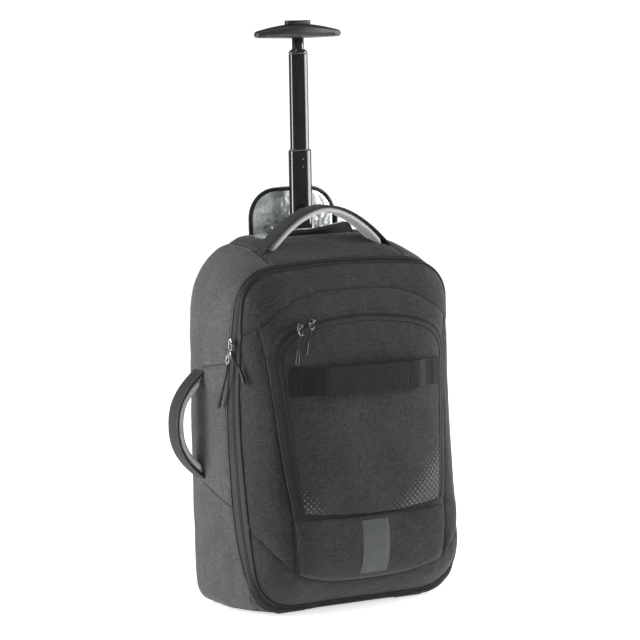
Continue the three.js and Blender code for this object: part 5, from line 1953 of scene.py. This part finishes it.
    def _pocket(self) -> None:
        """The silver pocket, its lip and the flap with its zip."""
        liner = Panel("trolley_pocket", 8.0, 5.0)
        liner.build(self.finishes.lining, name="trolley_pocket_lining")
        lip = Panel("trolley_pocket_lip", 3.0, 1.6, 42, at(0, 120, 520))
        lip.puff(0.3, 2, 0.0, 0.3, 41, 1.2)
        for point in lip.points:
            x, _, z = (point - at(0, 0, 0)) / MM
            high = max(0.0, (z - 516) / 20)
            corner = 8.0 * max(0.0, (x - 66) / 10) ** 2
            slack = 6.5 * (1 - min(1.0, max(0.0, (x + 60) / 130)))
            held = 3.0 * math.exp(-((x - 62) / 11) ** 2)
            point[2] -= (4.0 + corner + slack - held + 1.5 * math.sin(x / 13)) * high * MM
            point[1] -= 2.6 * high * high * (0.6 + 0.4 * math.sin(x / 19)) * MM
        lip.build(self.finishes.dark, name="trolley_pocket_lip_bound")
        flap = Panel("trolley_flap", 2.6, 2.0, 42, at(0, 140, 540))
        self._crinkle(flap)
        tab = spaced(np.array([at(70, 92, 560), at(70.5, 90.5, 549), at(70, 90.5, 536)]), 2 * MM)
        placed("trolley_flap_pull", *swept(tab, np.tile((0.0, -1.0, 0.0), (len(tab), 1)),
                                           round_outline(2.6 * MM, 10, 0.5)), self.finishes.nylon)
        cover = flap.build(self.finishes.lining, name="trolley_flap_lining")
        cover.data.materials.append(self.finishes.dark.material)
        for face in cover.data.polygons:
            face.material_index = int(face.normal.y > 0.3)
        edge = Panel("trolley_flap_zip", 3.0, 1.6, 42, at(0, 140, 540))
        edge.build(self.finishes.tape, name="trolley_flap_tape")
        hem = []
        for x in range(-72, 65, 4):
            rise = 11 * (0.35 + 0.65 * (x + 76) / 152)
            slack = 6.5 * (1 - min(1.0, (x + 76) / 146))
            hem.append(at(x, 57.6, 526.7 + rise - slack - 1.5 * math.sin(x / 13)))
        hem = spaced(np.array(hem), 2.5 * MM)
        placed("trolley_pocket_hem", *swept(hem, np.tile((0.0, -1.0, 0.2), (len(hem), 1)),
                                                    round_outline(3.4 * MM, 10, 0.4)), self.finishes.lining)
        line = np.array([at(*p) for p in self._flap_edge(2.4)])
        line = spaced(line, 1.7 * MM)
        front = np.tile((0.0, -1.0, 0.0), (len(line), 1))
        line, normals = edge.drop(line)
        tooth = Row(Item.STITCH, 3.0, 1.2, 1.1)
        across = unit(np.cross(tangents(line), front))
        tooth.lay("trolley_flap_coil", line + normals * 0.2 * MM, across, front, self.finishes.nylon)

    def _flap_edge(self, inset: float) -> list[tuple[float, float, float]]:
        """The middle line of the flap's zip, from its left foot over the top to its right foot.

        Args:
            inset: From the flap's edge, in millimetres.

        Returns:
            Points in the bag's own millimetres.
        """
        half, radius, high = 72 - inset, 44 - inset, 82 - 44
        lean = math.tan(math.radians(2))
        flat = [(-half, 4.0)]
        flat += [(-(half - radius) - radius * math.cos(a), high + radius * math.sin(a))
                 for a in np.linspace(0, math.pi / 2, 24)]
        flat += [((half - radius) + radius * math.sin(a), high + radius * math.cos(a))
                 for a in np.linspace(0, math.pi / 2, 24)]
        flat.append((half, 4.0))
        return [(x, 95.8 + z * lean - 0.5, 509.9 + z) for x, z in flat]

    def _crinkle(self, flap: Panel) -> None:
        """Lays the sharp creases of thin coated film in the flap's face.

        Args:
            flap: The flap, which is changed.
        """
        used = np.unique(flap.faces[flap.outer])
        away = flap.from_seam(flap.points[used]) / MM
        for i, d in zip(used, away):
            where = Vector(flap.points[i] / MM)
            where.y = 0
            bent = where + 9 * Vector((noise.noise(where / 17), 0, noise.noise(where / 17 + Vector((9, 4, 2)))))
            folds = 1 - abs(noise.noise(bent / 24)) * 2.4
            fine = 1 - abs(noise.noise(bent / 10 + Vector((3, 8, 1)))) * 2.4
            flap.points[i] += flap.normals[i] * (self.fold * folds + self.fine_fold * fine) * min(1, d / 5) * MM

    def build(self) -> None:
        """Makes the whole trolley."""
        for tube, body in zip(self.tubes, ("pole_upper", "pole_lower", "bag")):
            self._tube(tube, body)
        rounded("pole_collar", self.finishes.textured, "bag", 1.2, 3)
        self._grip()
        self._details()
        self._pocket()


@dataclass
class RunningGear:
    """The wheels, the moulded chassis and the front feet."""

    finishes: Finishes
    wheel_x: float = 132.0
    wheel_y: float = 98.0
    radius: float = 32.0
    width: float = 22.0
    hub: float = 21.0
    axle_end: float = 7.5  # how far the axle reaches past the tyre

    def _turned(self, profile: list[tuple[float, float]], x: float, count: int = 64) -> Shape:
        """Turns a closed profile of radius and side offset about a wheel's axle.

        Args:
            profile: The profile in millimetres.
            x: The wheel's middle.
            count: How many steps round.

        Returns:
            Points and faces.
        """
        points = [at(x + off, self.wheel_y + r * math.cos(a), self.radius + r * math.sin(a))
                  for a in np.linspace(0, 2 * math.pi, count, endpoint=False) for r, off in profile]
        return np.array(points), between(count, len(profile), True)

    def _wheel(self, side: Side) -> None:
        """One wheel: a tyre with two grooves, a dished hub with spokes and its axle.

        Args:
            side: Which wheel.
        """
        x, half = side.value * self.wheel_x, self.width / 2
        name = side.name.lower()
        inner = self.hub + 0.35
        tyre = [(inner, half - 2), (25, half - 0.6), (28, half), (30.6, half - 1.2), (31.7, half - 3.4),
                (self.radius, half - 6), (self.radius, 4.4), (30.8, 4.0), (30.8, 3.0), (self.radius, 2.6)]
        hub = [(4.35, half - 1), (8.4, half - 1), (9.2, half - 1.6), (9.8, 4.2), (16, 3.2), (17.6, half - 3),
               (18.4, half - 2.4), (self.hub, half - 2.2)]
        for part, right, look, slot in (("tyre", tyre, self.finishes.rubber, "tyre_rubber"),
                                        ("hub", hub, self.finishes.hub, "hub_plastic")):
            profile = right + [(r, -off) for r, off in reversed(right)]
            placed(f"wheel_{part}_{name}_moulded", *self._turned(profile, x), look, f"wheel_{name}",
                   f"wheel_{part}_{name}", slot)
        spokes, along, up = [], [], []
        for face in (-1, 1):
            for a in np.linspace(0, 2 * math.pi, 6, endpoint=False):
                out = np.array((0, math.cos(a), math.sin(a)))
                spokes.append(at(x + face * 5.2, self.wheel_y, self.radius) + out * 13.4 * MM)
                along.append(out)
                up.append((face, 0, 0))
        rib = Row(Item.STUD, 8.6, 2.6, 4.6, 0.0, 0, 12)
        rib.lay(f"wheel_spokes_{name}", np.array(spokes), np.array(along), np.array(up, float),
                        self.finishes.hub, f"wheel_{name}")
        tread, along, up = [], [], []
        for row in (-8.0, 8.0):
            for a in np.linspace(0, 2 * math.pi, 48, endpoint=False):
                out = np.array((0, math.cos(a), math.sin(a)))
                tread.append(at(x + row, self.wheel_y, self.radius) + out * 30.9 * MM)
                along.append((1, 0, 0))
                up.append(out)
        block = Row(Item.RIB, 4.2, 2.0, 1.1, 0.0, 0, 6)
        block.lay(f"wheel_tread_{name}", np.array(tread), np.array(along, float), np.array(up),
                          self.finishes.rubber, f"wheel_{name}")
        reach = half + self.axle_end
        pin = [(0.6, -reach), (3.6, -reach), (4, -reach + 0.5), (4, reach - 0.5), (3.6, reach), (0.6, reach)]
        placed(f"axle_{name}_turned", *self._turned(pin, x, 32), self.finishes.nickel, "bag", f"axle_{name}",
               "hub_plastic")

    def build(self) -> None:
        """Makes the wheels, the chassis and the feet."""
        for side in Side:
            self._wheel(side)
        rounded("wheel_chassis", self.finishes.textured, "bag", 1.6, 3)
        for side in Side:
            rounded(f"front_foot_{side.name.lower()}", self.finishes.textured, "bag", 1.4, 3)


@dataclass
class HarnessCover:
    """The padded cover on the back, with its quilting, binding and stitching."""

    finishes: Finishes
    half: float = 112.0
    low: float = 96.0
    high: float = 446.0
    corner: float = 34.0
    quilt: float = 70.0
    spine: float = 17.0
    groove: float = 2.4
    full: float = 2.6

    def _outline(self, inset: float, step: float) -> np.ndarray:
        """A closed line round the cover, inset from its edge, in steps of about this length.

        Args:
            inset: In millimetres.
            step: In millimetres.

        Returns:
            Its points.
        """
        radius = self.corner - inset / 2
        across, low, high = self.half - inset - radius, self.low + inset + radius, self.high - inset - radius
        line = [at(x * across + radius * math.cos(a), 150, z + radius * math.sin(a))
                for x, z, start in ((1, high, 0.0), (-1, high, 0.5), (-1, low, 1.0), (1, low, 1.5))
                for a in np.linspace(start * math.pi, (start + 0.5) * math.pi, 9)]
        return spaced(np.array(line), step * MM, True)

    def build(self) -> None:
        """Makes the cover."""
        cover = Panel("harness_cover", 4.0, 2.4, 50, at(0, 20, 270))
        used = np.unique(cover.faces[cover.outer])
        for i in used:
            x, _, z = (cover.points[i] - at(0, 0, 0)) / MM
            away = cover.from_seam(cover.points[[i]])[0] / MM
            half = self.quilt / 2
            channel = half - min(abs((z - self.low) % self.quilt - half), half)
            spine = max(0.0, abs(x) - self.spine)
            depth = self.groove * (math.exp(-(channel / 5) ** 2) * min(1, spine / 8) + math.exp(-(spine / 6) ** 2))
            full = self.full * (1 - math.exp(-away / 16))
            cover.points[i] += cover.normals[i] * (full - depth * min(1, away / 20)) * MM
        piece = cover.build(self.finishes.dark, name="harness_cover_padded")
        line, normals = cover.drop(self._outline(7.0, 3.0))
        line = eased(line, 3, True)
        binding = placed("harness_cover_binding", *swept(line, normals, round_outline(1.5 * MM, 8), True),
                         self.finishes.binding)
        where, up = cover.drop(self._outline(12.0, 4.2))
        stitches = Row(Item.STITCH, 2.9, 0.75, 0.55, 0.12, 11)
        stitches.lay("harness_cover_stitches", where + up * 0.1 * MM, tangents(where, True), up,
                             self.finishes.thread)


@dataclass
class Studio:
    """The pale room, its soft lights and the camera."""

    azimuth: float = -31.0
    elevation: float = 6.2
    roll: float = 1.0
    distance: float = 4290.0
    lens: float = 168.75
    target: tuple[float, float, float] = (-14.813, 0.0, 406.802)
    room: float = 0.2

    def build(self) -> None:
        """Makes the floor, the lights and the camera."""
        self._camera()
        self._floor()
        self._lights()

    def _camera(self) -> None:
        """Puts the camera where the photograph was taken from."""
        a, e, r = (math.radians(v) for v in (self.azimuth, self.elevation, self.roll))
        back = Vector((math.sin(a) * math.cos(e), -math.cos(a) * math.cos(e), math.sin(e)))
        right = Vector((math.cos(a), math.sin(a), 0))
        up = back.cross(right)
        across = math.cos(r) * right - math.sin(r) * up
        rise = math.sin(r) * right + math.cos(r) * up
        eye = Vector(at(*self.target)) + back * self.distance * MM
        data = bpy.data.cameras.new("photo_camera")
        data.lens, data.sensor_width, data.clip_end = self.lens, 36.0, 50.0
        camera = linked("photo_camera", data)
        camera.matrix_world = Matrix(((across.x, rise.x, back.x, eye.x), (across.y, rise.y, back.y, eye.y),
                                      (across.z, rise.z, back.z, eye.z), (0, 0, 0, 1)))
        bpy.context.scene.camera = camera

    def _floor(self) -> None:
        """A wide pale floor."""
        paint = Surface("matt_white_floor", Roughness=0.9, Specular_IOR_Level=0.1,
                        Emission_Color=(1.0, 1.0, 1.0, 1.0))
        away = paint.out(VECTOR, (paint.mm,), "Value", operation="LENGTH")
        glow = {"Value": away, "From Min": 350.0, "From Max": 1500.0, "To Min": 0.62, "To Max": 1.1}
        paint.feed("Emission Strength", paint.out(SPREAD, glow))
        paint.shader.inputs["Base Color"].default_value = linear("f4f4f4")
        reach = 2.4
        corners = [(-reach, -reach, 0), (reach, -reach, 0), (reach, reach, 0), (-reach, reach, 0)]
        floor = new_object("studio_floor", np.array(corners), [[0, 1, 2, 3]], paint)

    def _lights(self) -> None:
        """A white room, with a large soft light on each side."""
        world = bpy.data.worlds.new("white_room")
        world.use_nodes = True
        shade = world.node_tree.nodes["Background"]
        shade.inputs["Color"].default_value = (1, 1, 1, 1)
        tree = world.node_tree
        seen = add_node(tree, "ShaderNodeLightPath").outputs["Is Camera Ray"]
        strength = add_node(tree, "ShaderNodeMapRange", {"Value": seen, "To Min": self.room, "To Max": 1.1})
        tree.links.new(strength.outputs[0], shade.inputs["Strength"])
        bpy.context.scene.world = world
        bpy.context.scene.view_settings.view_transform = "Standard"
        for name, azimuth, elevation, away, size, power in (
            ("light_left", -105, 12, 2.2, (0.9, 2.0), 66),
            ("light_right", 66, 10, 2.2, (1.3, 2.0), 64),
            ("light_top", -20, 72, 2.4, (1.6, 1.2), 16),
        ):
            a, e = math.radians(azimuth), math.radians(elevation)
            back = Vector((math.sin(a) * math.cos(e), -math.cos(a) * math.cos(e), math.sin(e)))
            data = bpy.data.lights.new(name, "AREA")
            data.shape, data.size, data.size_y, data.energy = "RECTANGLE", *size, power
            light = linked(name, data)
            light.location = Vector(at(0, 0, 400)) + back * away
            light.rotation_euler = back.to_track_quat("Z", "Y").to_euler()


def main() -> None:
    """Builds the scene in order and reports each piece."""
    logging.basicConfig(level=logging.INFO, format="%(message)s")
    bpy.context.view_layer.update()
    Studio().build()
    finishes = Finishes()
    body = BagBody(finishes)
    body.build()
    Sewing(body, finishes).build()
    for name in ("main_zip", "pocket_zip"):
        ZipCoil(name, body.panels[f"{name}_band"], finishes).build()
    CarryHandle("top_handle", finishes, 110, 66, 1.85, (0, 13, 504.6), True).build()
    CarryHandle("side_handle", finishes, 78, 44, 2.4, (-177.7, 66, 263), False).build()
    FlatTrims(finishes).build()
    Trolley(finishes).build()
    RunningGear(finishes).build()
    HarnessCover(finishes).build()
    hang_pulls(body, finishes)


if __name__ == "__main__":
    main()
